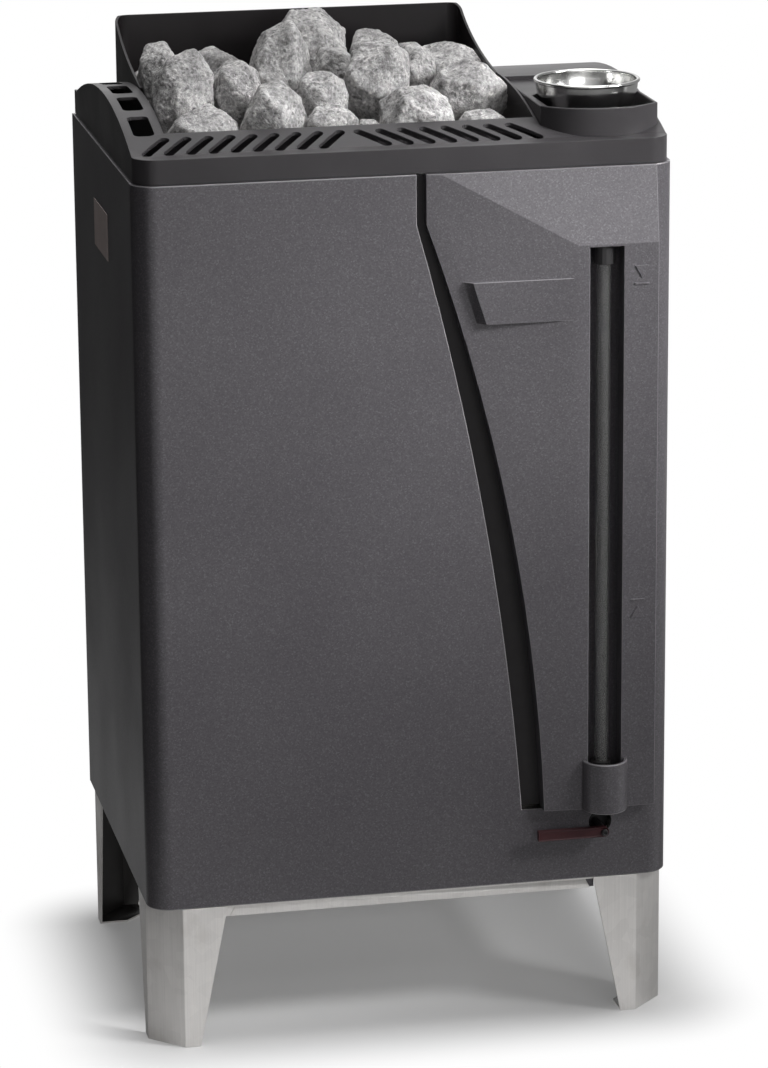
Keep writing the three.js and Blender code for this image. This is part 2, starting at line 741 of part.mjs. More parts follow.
function makeTopFrame() {
  const bottom = zTop + seatGap;
  const high = zTop + frameHeight + archRise + over;
  const outer = frameForm(0, bottom);
  const wellLip = rectangle(chamberLeft - slipGap - frameWall, chamberRight + slipGap + frameWall,
    chamberFront - slipGap - frameWall, chamberBack + slipGap + frameWall);
  const well = rectangle(chamberLeft - slipGap, chamberRight + slipGap,
    chamberFront - slipGap, chamberBack + slipGap);
  const hoodLip = hoodOutline(slipGap + frameWall, hoodBack + slipGap + frameWall,
    hoodLeft - slipGap - frameWall);
  const hoodHole = hoodOutline(slipGap, hoodBack + slipGap, hoodLeft - slipGap);
  const hollow = frameForm(frameWall, bottom - over)
    .subtract(standing(wellLip, bottom - 2 * over, high))
    .subtract(standing(hoodLip, bottom - 2 * over, high));
  let frame = outer.subtract(hollow)
    .subtract(standing(well, bottom - over, high))
    .subtract(standing(hoodHole, bottom - over, high));
  for (let i = 0; i < slotLeftCount; i += 1) {
    frame = frame.subtract(slot(slotMiddleX - slotCentreGap / 2 - i * slotPitch, slotLeanLeft));
  }
  for (let i = 0; i < slotRightCount; i += 1) {
    frame = frame.subtract(slot(slotMiddleX + slotCentreGap / 2 + i * slotPitch, slotLeanRight));
  }
  const railCentre = (chamberLeft - slipGap - halfWidth + frameInset) / 2;
  for (let i = 0; i < ventCount; i += 1) {
    const y = ventCentreY + (i - (ventCount - 1) / 2) * ventPitch;
    const vent = roundedRectangle(railCentre - ventWidth / 2, railCentre + ventWidth / 2,
      y - ventLength / 2, y + ventLength / 2, ventCornerRadius);
    frame = frame.subtract(standing(vent, bottom + frameWall, high, 3));
  }
  addPiece('top_frame', frame, frameBlack());
}

// Stone chamber: an open sheet well with a ledge for the grate and one for the element plate.
function chamberSpace(inset, z0, z1) {
  return block(chamberLeft + inset, chamberRight - inset, chamberFront + inset, chamberBack - inset, z0, z1);
}

const grateLedgeTop = grateTop - grateSheet - seatGap;
const plateLedgeTop = chamberBottom + ledgeSheet;

function makeStoneChamber() {
  const chamber = chamberSpace(0, chamberBottom, chamberTop)
    .subtract(chamberSpace(chamberSheet, plateLedgeTop, grateLedgeTop - ledgeSheet))
    .subtract(chamberSpace(chamberSheet, grateLedgeTop, chamberTop + over))
    .subtract(chamberSpace(chamberSheet + ledgeWidth, chamberBottom - over, chamberTop + over));
  addPiece('stone_chamber', chamber, galvanised());
}

function makeStoneGrate() {
  const inset = chamberSheet + slipGap;
  const x0 = chamberLeft + inset;
  const x1 = chamberRight - inset;
  const y0 = chamberFront + inset;
  const y1 = chamberBack - inset;
  let grate = block(x0, x1, y0, y1, grateTop - grateSheet, grateTop);
  const room = x1 - x0 - 2 * grateBorder + grateBar;
  const count = Math.floor(room / (grateGap + grateBar));
  const first = (x0 + x1 - count * (grateGap + grateBar) + grateBar) / 2;
  for (let i = 0; i < count; i += 1) {
    const left = first + i * (grateGap + grateBar);
    grate = grate.subtract(block(left, left + grateGap, y0 + grateBorder, y1 - grateBorder,
      grateTop - grateSheet - over, grateTop + over));
  }
  addPiece('stone_grate', grate, heatSteel());
  return { first, pitch: grateGap + grateBar, count };
}

function makeStoneGuard() {
  const bottom = chamberTop + seatGap;
  const x0 = chamberLeft;
  const x1 = chamberRight;
  const r = guardCornerRadius;
  const s = guardSheet;
  const wingFront = chamberBack - guardWing;
  const plan = new THREE.Shape();
  plan.absarc(x0 + r, chamberBack - r, r, Math.PI, 0.5 * Math.PI, true);
  plan.absarc(x1 - r, chamberBack - r, r, 0.5 * Math.PI, 0, true);
  plan.lineTo(x1, wingFront);
  plan.lineTo(x1 - s, wingFront);
  plan.absarc(x1 - r, chamberBack - r, r - s, 0, 0.5 * Math.PI, false);
  plan.absarc(x0 + r, chamberBack - r, r - s, 0.5 * Math.PI, Math.PI, false);
  plan.lineTo(x0 + s, wingFront);
  plan.lineTo(x0, wingFront);
  const top = zTop + guardHeight;
  const wingTop = zTop + guardWingHeight;
  const crest = chamberBack - guardFlat;
  const profile = new THREE.Shape();
  profile.moveTo(wingFront - over, bottom);
  profile.lineTo(wingFront - over, wingTop);
  profile.lineTo(wingFront, wingTop);
  profile.quadraticCurveTo(crest - guardSweepBack, wingTop + guardSweepRise, crest, top);
  profile.lineTo(chamberBack + over, top);
  profile.lineTo(chamberBack + over, bottom);
  const guard = standing(plan, bottom, top + over, 6).intersect(sideways(profile, x0 - over, x1 + over, 12));
  addPiece('stone_guard', guard, frameBlack());
}

// Heating elements: three tall hoops, whose crowns lie among the stones. Air rises between them,
// through the openings of the plate that carries them.
function elementFootX(target, grate) {
  const index = Math.round((target - grate.first - grateGap / 2) / grate.pitch);
  const inside = Math.min(Math.max(index, 0), grate.count - 1);
  return grate.first + inside * grate.pitch + grateGap / 2;
}

function makeElements(grate) {
  const left = elementFootX(chamberLeft + elementLeftInset, grate);
  const right = elementFootX(chamberRight - elementRightInset, grate);
  const frontRow = chamberFront + elementFrontInset;
  const rearRow = chamberBack - elementBackInset;
  const rows = [frontRow, (frontRow + rearRow) / 2, rearRow];
  const plateTop = plateLedgeTop + seatGap + elementPlateSheet;
  const foot = plateTop + seatGap;
  const crown = zTop + elementCrown - elementRadius;
  const names = ['front', 'middle', 'rear'];
  const hoops = rows.map((y, i) => {
    const corners = [[left, y, foot], [left, y, crown], [right, y, crown], [right, y, foot]];
    const path = bentPath(corners, elementBend);
    const hoop = tube(path, elementRadius, elementSteps);
    addPiece(`heating_element_${names[i]}`, hoop, heatSteel());
    return hoop;
  });
  const inset = chamberSheet + slipGap;
  let plate = chamberSpace(inset, plateLedgeTop + seatGap, plateTop);
  const bars = rows.flatMap((y) => [y - elementBar / 2, y + elementBar / 2]);
  const edges = [chamberFront + inset + elementBorder, ...bars, chamberBack - inset - elementBorder];
  for (let i = 0; i < edges.length; i += 2) {
    plate = plate.subtract(block(chamberLeft + inset + elementBorder, chamberRight - inset - elementBorder,
      edges[i], edges[i + 1], plateLedgeTop, plateTop + over));
  }
  addPiece('element_plate', plate, galvanised());
  return hoops;
}

// Heat shield: folded sheet round the front and sides of the chamber, standing on the tray.
// Two inward rails on it carry the chamber.
function makeHeatShield() {
  const s = shieldSheet;
  const top = zTop - shieldTopDrop;
  const railTop = chamberBottom - seatGap;
  const rail = ledgeWidth + chamberSheet;
  const plan = polygon([
    [shieldLeft, shieldBack], [shieldLeft, shieldFront],
    [shieldRight, shieldFront], [shieldRight, shieldBack],
    [shieldRight - s, shieldBack], [shieldRight - s, shieldFront + s],
    [shieldLeft + s, shieldFront + s], [shieldLeft + s, shieldBack],
  ]);
  const shield = standing(plan, zBottom, top)
    .add(block(shieldLeft + s / 2, chamberLeft + rail, chamberFront, chamberBack,
      railTop - ledgeSheet, railTop))
    .add(block(chamberRight - rail, shieldRight - s / 2, chamberFront, chamberBack,
      railTop - ledgeSheet, railTop));
  addPiece('heat_shield', shield, galvanised());
}

// Evaporator: the hood with its well for the cup, the tank below it and what heats the water.
function makeHood() {
  const top = zTop + hoodHeight;
  const form = standing(hoodOutline(0, hoodBack, hoodLeft), hoodBottom, top, 14);
  const recessLeft = hoodLeft + hoodRim;
  const corner = polygon([
    [recessLeft - over, recessBack + over], [recessLeft - over, recessBack - recessCornerDepth],
    [recessLeft, recessBack - recessCornerDepth], [recessLeft + recessCornerWidth, recessBack],
    [recessLeft + recessCornerWidth, recessBack + over],
  ]);
  const recess = standing(hoodOutline(-hoodWall, recessBack, recessLeft), recessFloor, top + over, 14)
    .subtract(standing(corner, recessFloor - over, top + 2 * over));
  const under = block(hoodLeft + hoodWall, hoodRight - hoodWall, recessBack + hoodWall, hoodBack - hoodWall,
    hoodBottom - over, top - hoodWall);
  const slotBack = recessBack - steamSlotGap;
  const slotX = cupX + steamSlotSide;
  const steamSlot = roundedRectangle(slotX - steamSlotLength / 2, slotX + steamSlotLength / 2,
    slotBack - steamSlotWidth, slotBack, steamSlotWidth / 2);
  const hood = form.subtract(recess).subtract(under)
    .subtract(standing(steamSlot, hoodBottom - over, recessFloor + over, 4));
  addPiece('evaporator_hood', hood, frameBlack());
}

function makeCup() {
  const bottom = recessFloor + seatGap;
  const rim = bottom + cupHeight - cupRoll;
  const rollCentre = cupRimRadius - cupRoll;
  const bowl = (radius, depth, floor) => {
    const lowest = Math.asin((rim - floor) / depth);
    return Array.from({ length: cupBowlPoints }, (_, i) => {
      const angle = lowest * (1 - i / cupBowlPoints);
      return [radius * Math.cos(angle), rim - depth * Math.sin(angle)];
    });
  };
  const outside = bowl(cupNeckRadius, cupBowlDepth, bottom);
  const inside = bowl(cupNeckRadius - cupWall, cupBowlDepth - cupWall, bottom + cupWall);
  const from = -Math.acos((cupNeckRadius - rollCentre) / cupRoll);
  const to = 2 * Math.PI - Math.acos((cupNeckRadius - cupWall - rollCentre) / cupRoll);
  const roll = Array.from({ length: cupRollPoints }, (_, i) => {
    const angle = from + ((to - from) * i) / (cupRollPoints - 1);
    return [rollCentre + cupRoll * Math.cos(angle), rim + cupRoll * Math.sin(angle)];
  });
  const profile = [[0, bottom], ...outside, ...roll, ...inside.reverse(), [0, bottom + cupWall]];
  const points = profile.map(([r, z]) => new THREE.Vector2(r, z));
  const cup = new THREE.LatheGeometry(points, 24).rotateX(Math.PI / 2);
  addPiece('herb_cup', toSolid(cup.translate(cupX, cupY, 0)), stainless());
}

function makeTank() {
  const s = tankSheet;
  const tank = block(tankLeft, tankRight, tankFront, tankBack, tankBottom, tankTop)
    .subtract(block(tankLeft + s, tankRight - s, tankFront + s, tankBack - s,
      tankBottom + s, tankTop + over));
  addPiece('evaporator_tank', tank, stainless());

  const standTop = tankBottom - seatGap;
  const standFront = tankFront + standInset;
  const standBack = tankBack - standInset;
  const stand = block(tankLeft + standInset, tankRight - standInset, standFront, standBack, zBottom, standTop)
    .subtract(block(tankLeft, tankRight, standFront + standSheet, standBack - standSheet,
      zBottom - over, standTop - standSheet));
  addPiece('tank_stand', stand, galvanised());

  const middle = (tankLeft + tankRight) / 2;
  const end = tankBack - s - seatGap;
  const z = tankBottom + heaterRise;
  const spread = heaterBend + heaterRadius;
  const path = bentPath([
    [middle - spread, end, z], [middle - spread, end - heaterReach, z],
    [middle + spread, end - heaterReach, z], [middle + spread, end, z],
  ], heaterBend);
  addPiece('immersion_heater', tube(path, heaterRadius, heaterSteps), heatSteel());

  const probe = tankBack + seatGap;
  const thermostat = levelRod(middle, tankBottom + thermostatRise, thermostatRadius,
    probe, probe + thermostatLength);
  addPiece('tank_thermostat', thermostat, blackPlastic());
}

// Drain valve: body on the tank, spindle through the front, and the lever that turns it.
function makeDrain() {
  const valveBack = tankFront - seatGap;
  const valveFront = valveBack - valveLength;
  const valve = levelRod(drainX, spindleZ, valveRadius, valveFront, valveBack);
  addPiece('drain_valve_body', valve, blackPlastic());
  const leverBack = -leverStandoff;
  const leverFront = leverBack - leverThickness;
  const spindle = levelRod(drainX, spindleZ, spindleRadius, leverBack + seatGap, valveFront - seatGap, 12);
  addPiece('drain_spindle', spindle, blackPlastic());
  const half = leverHeight / 2;
  const shape = new THREE.Shape();
  shape.moveTo(drainX - leverReach, spindleZ + half);
  shape.lineTo(drainX - leverReach, spindleZ - half);
  shape.absarc(drainX, spindleZ, half, -0.5 * Math.PI, 0.5 * Math.PI);
  const bore = levelRod(drainX, spindleZ, leverScrewRadius + slipGap,
    leverFront - over, leverBack + over, 12);
  addPiece('drain_lever', facing(shape, leverFront, leverBack, 8).subtract(bore), redPlastic());
  const head = leverFront - seatGap;
  const screw = levelRod(drainX, spindleZ, leverScrewHeadRadius, head - leverScrewHeadHeight, head, 12)
    .add(levelRod(drainX, spindleZ, leverScrewRadius, head - over, leverBack, 12));
  addPiece('lever_screw', screw, blackPlastic());
}

// Mains inlet: a terminal box on the tray behind the air intake, with a gland through the rear panel.
function makeInlet() {
  const s = boxSheet;
  const x0 = -boxWidth / 2;
  const x1 = boxWidth / 2;
  const y1 = rearInside - boxBackGap;
  const y0 = y1 - boxDepth;
  const z0 = zBottom;
  const z1 = z0 + boxHeight;
  const glandZ = trayTop + glandRise;
  const box = block(x0, x1, y0, y1, z0, z1)
    .subtract(block(x0 + s, x1 - s, y0 + s, y1 - s, z0 + s, z1 + over))
    .subtract(levelRod(0, glandZ, glandBore, y1 - s - over, y1 + over, 12));
  addPiece('terminal_box', box, galvanised());
  const lid = block(x0, x1, y0, y1, z1 + seatGap, z1 + seatGap + s);
  addPiece('terminal_box_lid', lid, galvanised());
  const blockY = (y0 + y1) / 2;
  const blockZ = z0 + s + seatGap;
  const terminals = block(-blockWidth / 2, blockWidth / 2, blockY - blockDepth / 2, blockY + blockDepth / 2,
    blockZ, blockZ + blockHeight);
  addPiece('terminal_block', terminals, palePlastic());
  const nut = casingDepth + seatGap;
  const gland = levelRod(0, glandZ, glandNutRadius, nut, nut + glandNutLength, 6)
    .add(levelRod(0, glandZ, glandRadius, y1 + seatGap, nut + over))
    .subtract(levelRod(0, glandZ, glandBore, y1, nut + glandNutLength + over, 12));
  addPiece('cable_gland', gland, blackPlastic());
}

function makeRatingPlate() {
  const z = zTop - ratingDrop;
  const plate = block(-halfWidth - ratingSheet, -halfWidth, ratingCentreY - ratingWidth / 2,
    ratingCentreY + ratingWidth / 2, z - ratingHeight / 2, z + ratingHeight / 2);
  addPiece('rating_plate', plate, plateSilver());
}

// Stones: each is placed over the bed and lowered until it meets what lies below it.
// across and back are its place in the chamber, from 0 at the left and front wall to 1 at the far one.
const stones = [
  { across: 0, back: 0, size: [68, 50, 64], lean: 0 },
  { across: 0.262, back: 0.02, size: [54, 52, 82], lean: 4 },
  { across: 0.455, back: 0, size: [42, 42, 62], lean: 0 },
  { across: 0.575, back: 0, size: [26, 38, 46], lean: 0 },
  { across: 0.755, back: 0, size: [60, 50, 72], lean: -4 },
  { across: 0.95, back: 0, size: [50, 44, 54], lean: 2 },
  { across: 0, back: 0.23, size: [52, 56, 100], lean: 5 },
  { across: 0.2, back: 0.28, size: [38, 50, 60], lean: -3 },
  { across: 0.45, back: 0.165, size: [44, 46, 52], lean: 0 },
  { across: 0.655, back: 0.245, size: [58, 56, 74], lean: 6 },
  { across: 1, back: 0.26, size: [68, 58, 62], lean: -10 },
  { across: 0.36, back: 0.42, size: [54, 74, 88], lean: 5 },
  { across: 0.57, back: 0.495, size: [46, 52, 60], lean: -6 },
  { across: 0.81, back: 0.495, size: [36, 54, 60], lean: 0 },
  { across: 0, back: 0.59, size: [36, 56, 98], lean: 0 },
  { across: 0.14, back: 0.605, size: [56, 60, 72], lean: -6 },
  { across: 0.52, back: 0.865, size: [67, 80, 84], lean: 6 },
  { across: 0.75, back: 0.845, size: [48, 72, 64], lean: -4 },
  { across: 1, back: 0.84, size: [68, 80, 50], lean: -8 },
  { across: 0.02, back: 0.96, size: [96, 74, 46], lean: 3 },
];
const stonePoints = 26;
const stoneRoundness = 2.6;
const stoneRoughness = 0.2;
const stoneWallGap = 1;

function seededRandom(seed) {
  let state = seed;
  return () => {
    state = (state + 0x6d2b79f5) | 0;
    let t = Math.imul(state ^ (state >>> 15), 1 | state);
    t = (t + Math.imul(t ^ (t >>> 7), 61 | t)) ^ t;
    return ((t ^ (t >>> 14)) >>> 0) / 4294967296;
  };
}

function stoneGeometry({ size, lean }, seed) {
  const random = seededRandom(seed);
  const points = [];
  const golden = Math.PI * (3 - Math.sqrt(5));
  for (let i = 0; i < stonePoints; i += 1) {
    const z = 1 - (2 * (i + 0.5)) / stonePoints;
    const around = i * golden + random();
    const ring = Math.sqrt(1 - z * z);
    const p = new THREE.Vector3(ring * Math.cos(around), ring * Math.sin(around), z);
    const spread = Math.abs(p.x) ** stoneRoundness + Math.abs(p.y) ** stoneRoundness
      + Math.abs(p.z) ** stoneRoundness;
    p.multiplyScalar((1 - stoneRoughness * random()) / spread ** (1 / stoneRoundness));
    points.push(p);
  }
  const geometry = new ConvexGeometry(points);
  geometry.computeBoundingBox();
  const extent = geometry.boundingBox.getSize(new THREE.Vector3());
  geometry.center();
  geometry.scale(size[0] / extent.x, size[1] / extent.y, size[2] / extent.z);
  return geometry.rotateY(THREE.MathUtils.degToRad(lean));
}

function facesOf(geometry) {
  const flat = geometry.index ? geometry.toNonIndexed() : geometry;
  const at = flat.attributes.position;
  const faces = [];
  for (let i = 0; i < at.count; i += 3) {
    faces.push([0, 1, 2].map((k) => new THREE.Vector3().fromBufferAttribute(at, i + k)));
  }
  return faces;
}

// Height of a face over the point (x, y), or null where the point lies beside it.
function heightOver([a, b, c], x, y) {
  const area = (b.x - a.x) * (c.y - a.y) - (c.x - a.x) * (b.y - a.y);
  if (Math.abs(area) < 1e-9) {
    return null;
  }
  const v = ((x - a.x) * (c.y - a.y) - (c.x - a.x) * (y - a.y)) / area;
  const w = ((b.x - a.x) * (y - a.y) - (x - a.x) * (b.y - a.y)) / area;
  if (v < 0 || w < 0 || v + w > 1) {
    return null;
  }
  return a.z + v * (b.z - a.z) + w * (c.z - a.z);
}

// Height difference of two edges where they cross, seen from above.
function edgeDrop(a, b, c, d) {
  const cross = (b.x - a.x) * (d.y - c.y) - (b.y - a.y) * (d.x - c.x);
  if (Math.abs(cross) < 1e-9) {
    return Infinity;
  }
  const t = ((c.x - a.x) * (d.y - c.y) - (c.y - a.y) * (d.x - c.x)) / cross;
  const u = ((c.x - a.x) * (b.y - a.y) - (c.y - a.y) * (b.x - a.x)) / cross;
  if (t < 0 || t > 1 || u < 0 || u > 1) {
    return Infinity;
  }
  return a.z + t * (b.z - a.z) - (c.z + u * (d.z - c.z));
}

function beside(upper, lower) {
  const span = (face, axis) => {
    const values = face.map((p) => p[axis]);
    return [Math.min(...values), Math.max(...values)];
  };
  return ['x', 'y'].some((axis) => {
    const [a0, a1] = span(upper, axis);
    const [b0, b1] = span(lower, axis);
    return a1 < b0 || b1 < a0;
  });
}

// Free fall of the upper faces on to the lower ones, which all lie below them.
function fallOnto(upperFaces, lowerFaces) {
  let fall = Infinity;
  for (const upper of upperFaces) {
    for (const lower of lowerFaces) {
      if (beside(upper, lower)) {
        continue;
      }
      for (let i = 0; i < 3; i += 1) {
        const above = heightOver(upper, lower[i].x, lower[i].y);
        const below = heightOver(lower, upper[i].x, upper[i].y);
        fall = Math.min(fall, above === null ? Infinity : above - lower[i].z);
        fall = Math.min(fall, below === null ? Infinity : upper[i].z - below);
        for (let k = 0; k < 3; k += 1) {
          fall = Math.min(fall, edgeDrop(upper[i], upper[(i + 1) % 3], lower[k], lower[(k + 1) % 3]));
        }
      }
    }
  }
  return fall;
}

function makeStones(bed) {
  const left = chamberLeft + guardSheet + stoneWallGap;
  const right = chamberRight - guardSheet - stoneWallGap;
  const front = chamberFront + chamberSheet + stoneWallGap;
  const rear = chamberBack - guardSheet - stoneWallGap;
  const drop = 2 * guardHeight;
  const faces = [...bed];
  stones.forEach((stone, i) => {
    const geometry = stoneGeometry(stone, i + 1);
    geometry.computeBoundingBox();
    const { min, max } = geometry.boundingBox;
    const x = left - min.x + stone.across * (right - left - (max.x - min.x));
    const y = front - min.y + stone.back * (rear - front - (max.y - min.y));
    geometry.translate(x, y, zTop + drop);
    geometry.translate(0, 0, seatGap - fallOnto(facesOf(geometry), faces));
    faces.push(...facesOf(geometry));
    addPiece(`stone_${String(i + 1).padStart(2, '0')}`, toSolid(geometry), granite());
  });
}

// Assembly, from the floor up
makeLeg('leg_front_left', -1, -1);
makeLeg('leg_front_right', 1, -1);
makeLeg('leg_rear_left', -1, 1);
makeLeg('leg_rear_right', 1, 1);
makeBaseTray();
makeHeatShield();
makeStoneChamber();
const grate = makeStoneGrate();
const hoops = makeElements(grate);
makeTank();
makeInlet();
makeCasing();
makeRearPanel();
makeRatingPlate();
makeGaugeCover();
makeGauge();
makeDrain();
makeTopFrame();
makeStoneGuard();
makeHood();
makeCup();
const gratePiece = stove.getObjectByName('stone_grate');
makeStones([...facesOf(gratePiece.geometry), ...hoops.flatMap(facesOf)]);

// The origin is on the floor, in the middle of the footprint.
const footprint = new THREE.Box3().setFromObject(stove).getCenter(new THREE.Vector3());
stove.children.forEach((piece) => piece.position.sub(new THREE.Vector3(footprint.x, footprint.y, 0)));

export default stove;
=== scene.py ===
import math

import bmesh
import bpy
from mathutils import Matrix, Vector


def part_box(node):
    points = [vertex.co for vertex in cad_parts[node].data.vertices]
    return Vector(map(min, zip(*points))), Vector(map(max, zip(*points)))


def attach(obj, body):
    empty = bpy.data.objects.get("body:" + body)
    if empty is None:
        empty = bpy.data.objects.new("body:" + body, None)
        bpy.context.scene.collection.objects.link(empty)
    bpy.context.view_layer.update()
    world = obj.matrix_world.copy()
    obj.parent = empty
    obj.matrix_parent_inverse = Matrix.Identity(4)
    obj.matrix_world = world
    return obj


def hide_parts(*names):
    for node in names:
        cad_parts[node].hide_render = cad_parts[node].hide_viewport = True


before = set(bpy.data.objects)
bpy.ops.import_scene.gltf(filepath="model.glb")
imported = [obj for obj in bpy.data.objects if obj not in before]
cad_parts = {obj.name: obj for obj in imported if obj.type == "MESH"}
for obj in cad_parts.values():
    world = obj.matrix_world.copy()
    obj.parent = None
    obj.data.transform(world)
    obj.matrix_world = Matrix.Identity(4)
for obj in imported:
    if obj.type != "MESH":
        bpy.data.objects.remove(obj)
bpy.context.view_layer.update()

# Camera: a long lens at chest height, a little to the left of the stove and
# looking down on its stone bed.
view_yaw = math.radians(11.667)
view_pitch = math.radians(15.498)
view_roll = math.radians(-0.456)
forward = Vector((math.sin(view_yaw) * math.cos(view_pitch),
                  math.cos(view_yaw) * math.cos(view_pitch),
                  -math.sin(view_pitch)))
level_right = Vector((math.cos(view_yaw), -math.sin(view_yaw), 0.0))
level_up = level_right.cross(forward)
right = math.cos(view_roll) * level_right + math.sin(view_roll) * level_up
up = math.cos(view_roll) * level_up - math.sin(view_roll) * level_right
lens = bpy.data.cameras.new("camera")
lens.sensor_fit = "HORIZONTAL"
lens.sensor_width = 36.0
lens.lens = 206.66
lens.clip_end = 100.0
camera = bpy.data.objects.new("camera", lens)
bpy.context.scene.collection.objects.link(camera)
camera.matrix_world = Matrix.Translation((-0.7655, -3.7715, 1.4789)) @ Matrix(
    (right, up, -forward)).transposed().to_4x4()
bpy.context.scene.camera = camera


# Legs and base tray: folded galvanised steel sheet. The legs are pressed in one piece with a
# chamfered corner and hooked under the tray, whose slanted flange shows between them. The
# legs' broad faces that look in under the stove, and the tops of their feet, are coloured
# near-black, and a lap closes the flange's left end.
def put(tree, kind, inputs=None, **settings):
    """One node of a tree; an input is a plain value or the output of another node."""
    made = tree.nodes.new(kind)
    for key, value in settings.items():
        setattr(made, key, value)
    for key, value in (inputs or {}).items():
        socket = next(s for s in made.inputs if s.name == key and s.enabled)
        if isinstance(value, bpy.types.NodeSocket):
            tree.links.new(value, socket)
        else:
            socket.default_value = value
    return made


def new_finish(name, **constants):
    """A material with its main shader, whose even values are set on the shader itself."""
    material = bpy.data.materials.new(name)
    material.use_nodes = True
    tree = material.node_tree
    shader = tree.nodes["Principled BSDF"]
    for key, value in constants.items():
        shader.inputs[key.replace("_", " ")].default_value = value
    place = put(tree, "ShaderNodeTexCoord").outputs["Object"]
    return material, tree, shader, place


def stretched(tree, place, scale):
    """The place on the piece with each axis scaled, for a grain that runs one way."""
    return put(tree, "ShaderNodeMapping", {"Vector": place, "Scale": scale}).outputs["Vector"]


def noise(tree, place, scale, detail=2.0, roughness=0.5):
    """A cloudy value from 0 to 1 with so many clouds to the metre."""
    return put(tree, "ShaderNodeTexNoise", {
        "Vector": place, "Scale": scale, "Detail": detail, "Roughness": roughness}).outputs["Fac"]


def ramp(tree, value, *stops):
    """A colour that runs through the stops, each a place from 0 to 1 and a colour."""
    made = put(tree, "ShaderNodeValToRGB", {"Fac": value})
    elements = made.color_ramp.elements
    while len(elements) < len(stops):
        elements.new(0.5)
    for element, (at, colour) in zip(elements, stops):
        element.position = at
        element.color = (*colour, 1.0)
    return made.outputs["Color"]


def spread(tree, value, low, high, start=0.0, end=1.0):
    """A value mapped from start and end to low and high."""
    return put(tree, "ShaderNodeMapRange", {
        "Value": value, "From Min": start, "From Max": end,
        "To Min": low, "To Max": high}).outputs["Result"]


def blended(tree, factor, one, other, mode="MIX"):
    """Two colours mixed by a factor."""
    made = put(tree, "ShaderNodeMix", data_type="RGBA", blend_type=mode)
    for key, value in (("Factor", factor), ("A", one), ("B", other)):
        socket = next(s for s in made.inputs if s.name == key and s.enabled)
        if isinstance(value, bpy.types.NodeSocket):
            tree.links.new(value, socket)
        elif key == "Factor":
            socket.default_value = value
        else:
            socket.default_value = (*value, 1.0)
    return next(s for s in made.outputs if s.name == "Result" and s.enabled)


def bumped(tree, shader, height, strength, distance):
    """Relief on the surface from a height value."""
    made = put(tree, "ShaderNodeBump", {
        "Height": height, "Strength": strength, "Distance": distance})
    tree.links.new(made.outputs["Normal"], shader.inputs["Normal"])


def galvanised_sheet():
    """Zinc-coated sheet: pale, with large faint spangles and fine rolling lines."""
    material, tree, shader, place = new_finish("galvanised_sheet", Metallic=0.45)
    spangle = put(tree, "ShaderNodeTexVoronoi", {"Vector": place, "Scale": 75.0})
    tone = put(tree, "ShaderNodeSeparateColor", {"Color": spangle.outputs["Color"]})
    lines = noise(tree, stretched(tree, place, (900.0, 900.0, 14.0)), 1.0, 3.0)
    stain = noise(tree, place, 22.0, 5.0, 0.6)
    zinc = ramp(tree, tone.outputs["Red"], (0.0, (0.72, 0.70, 0.684)), (1.0, (0.80, 0.779, 0.76)))
    rolled = blended(tree, 0.35, zinc, ramp(
        tree, lines, (0.3, (0.67, 0.652, 0.637)), (0.7, (0.84, 0.818, 0.798))))
    dull = ramp(tree, stain, (0.55, (1.0, 1.0, 1.0)), (0.8, (0.82, 0.81, 0.79)))
    # Faces marked inside are coloured near-black.
    inside = put(tree, "ShaderNodeAttribute", attribute_name="inside").outputs["Fac"]
    near_black_inside = (0.020, 0.018, 0.017)
    tree.links.new(blended(tree, inside, blended(tree, 1.0, rolled, dull, "MULTIPLY"), near_black_inside), shader.inputs["Base Color"])
    tree.links.new(spread(tree, stain, 0.33, 0.52, 0.3, 0.75), shader.inputs["Roughness"])
    bumped(tree, shader, lines, 0.12, 0.0002)
    return material


zinc_finish = galvanised_sheet()
sharp_turn = math.radians(12.0)
underside = -0.3


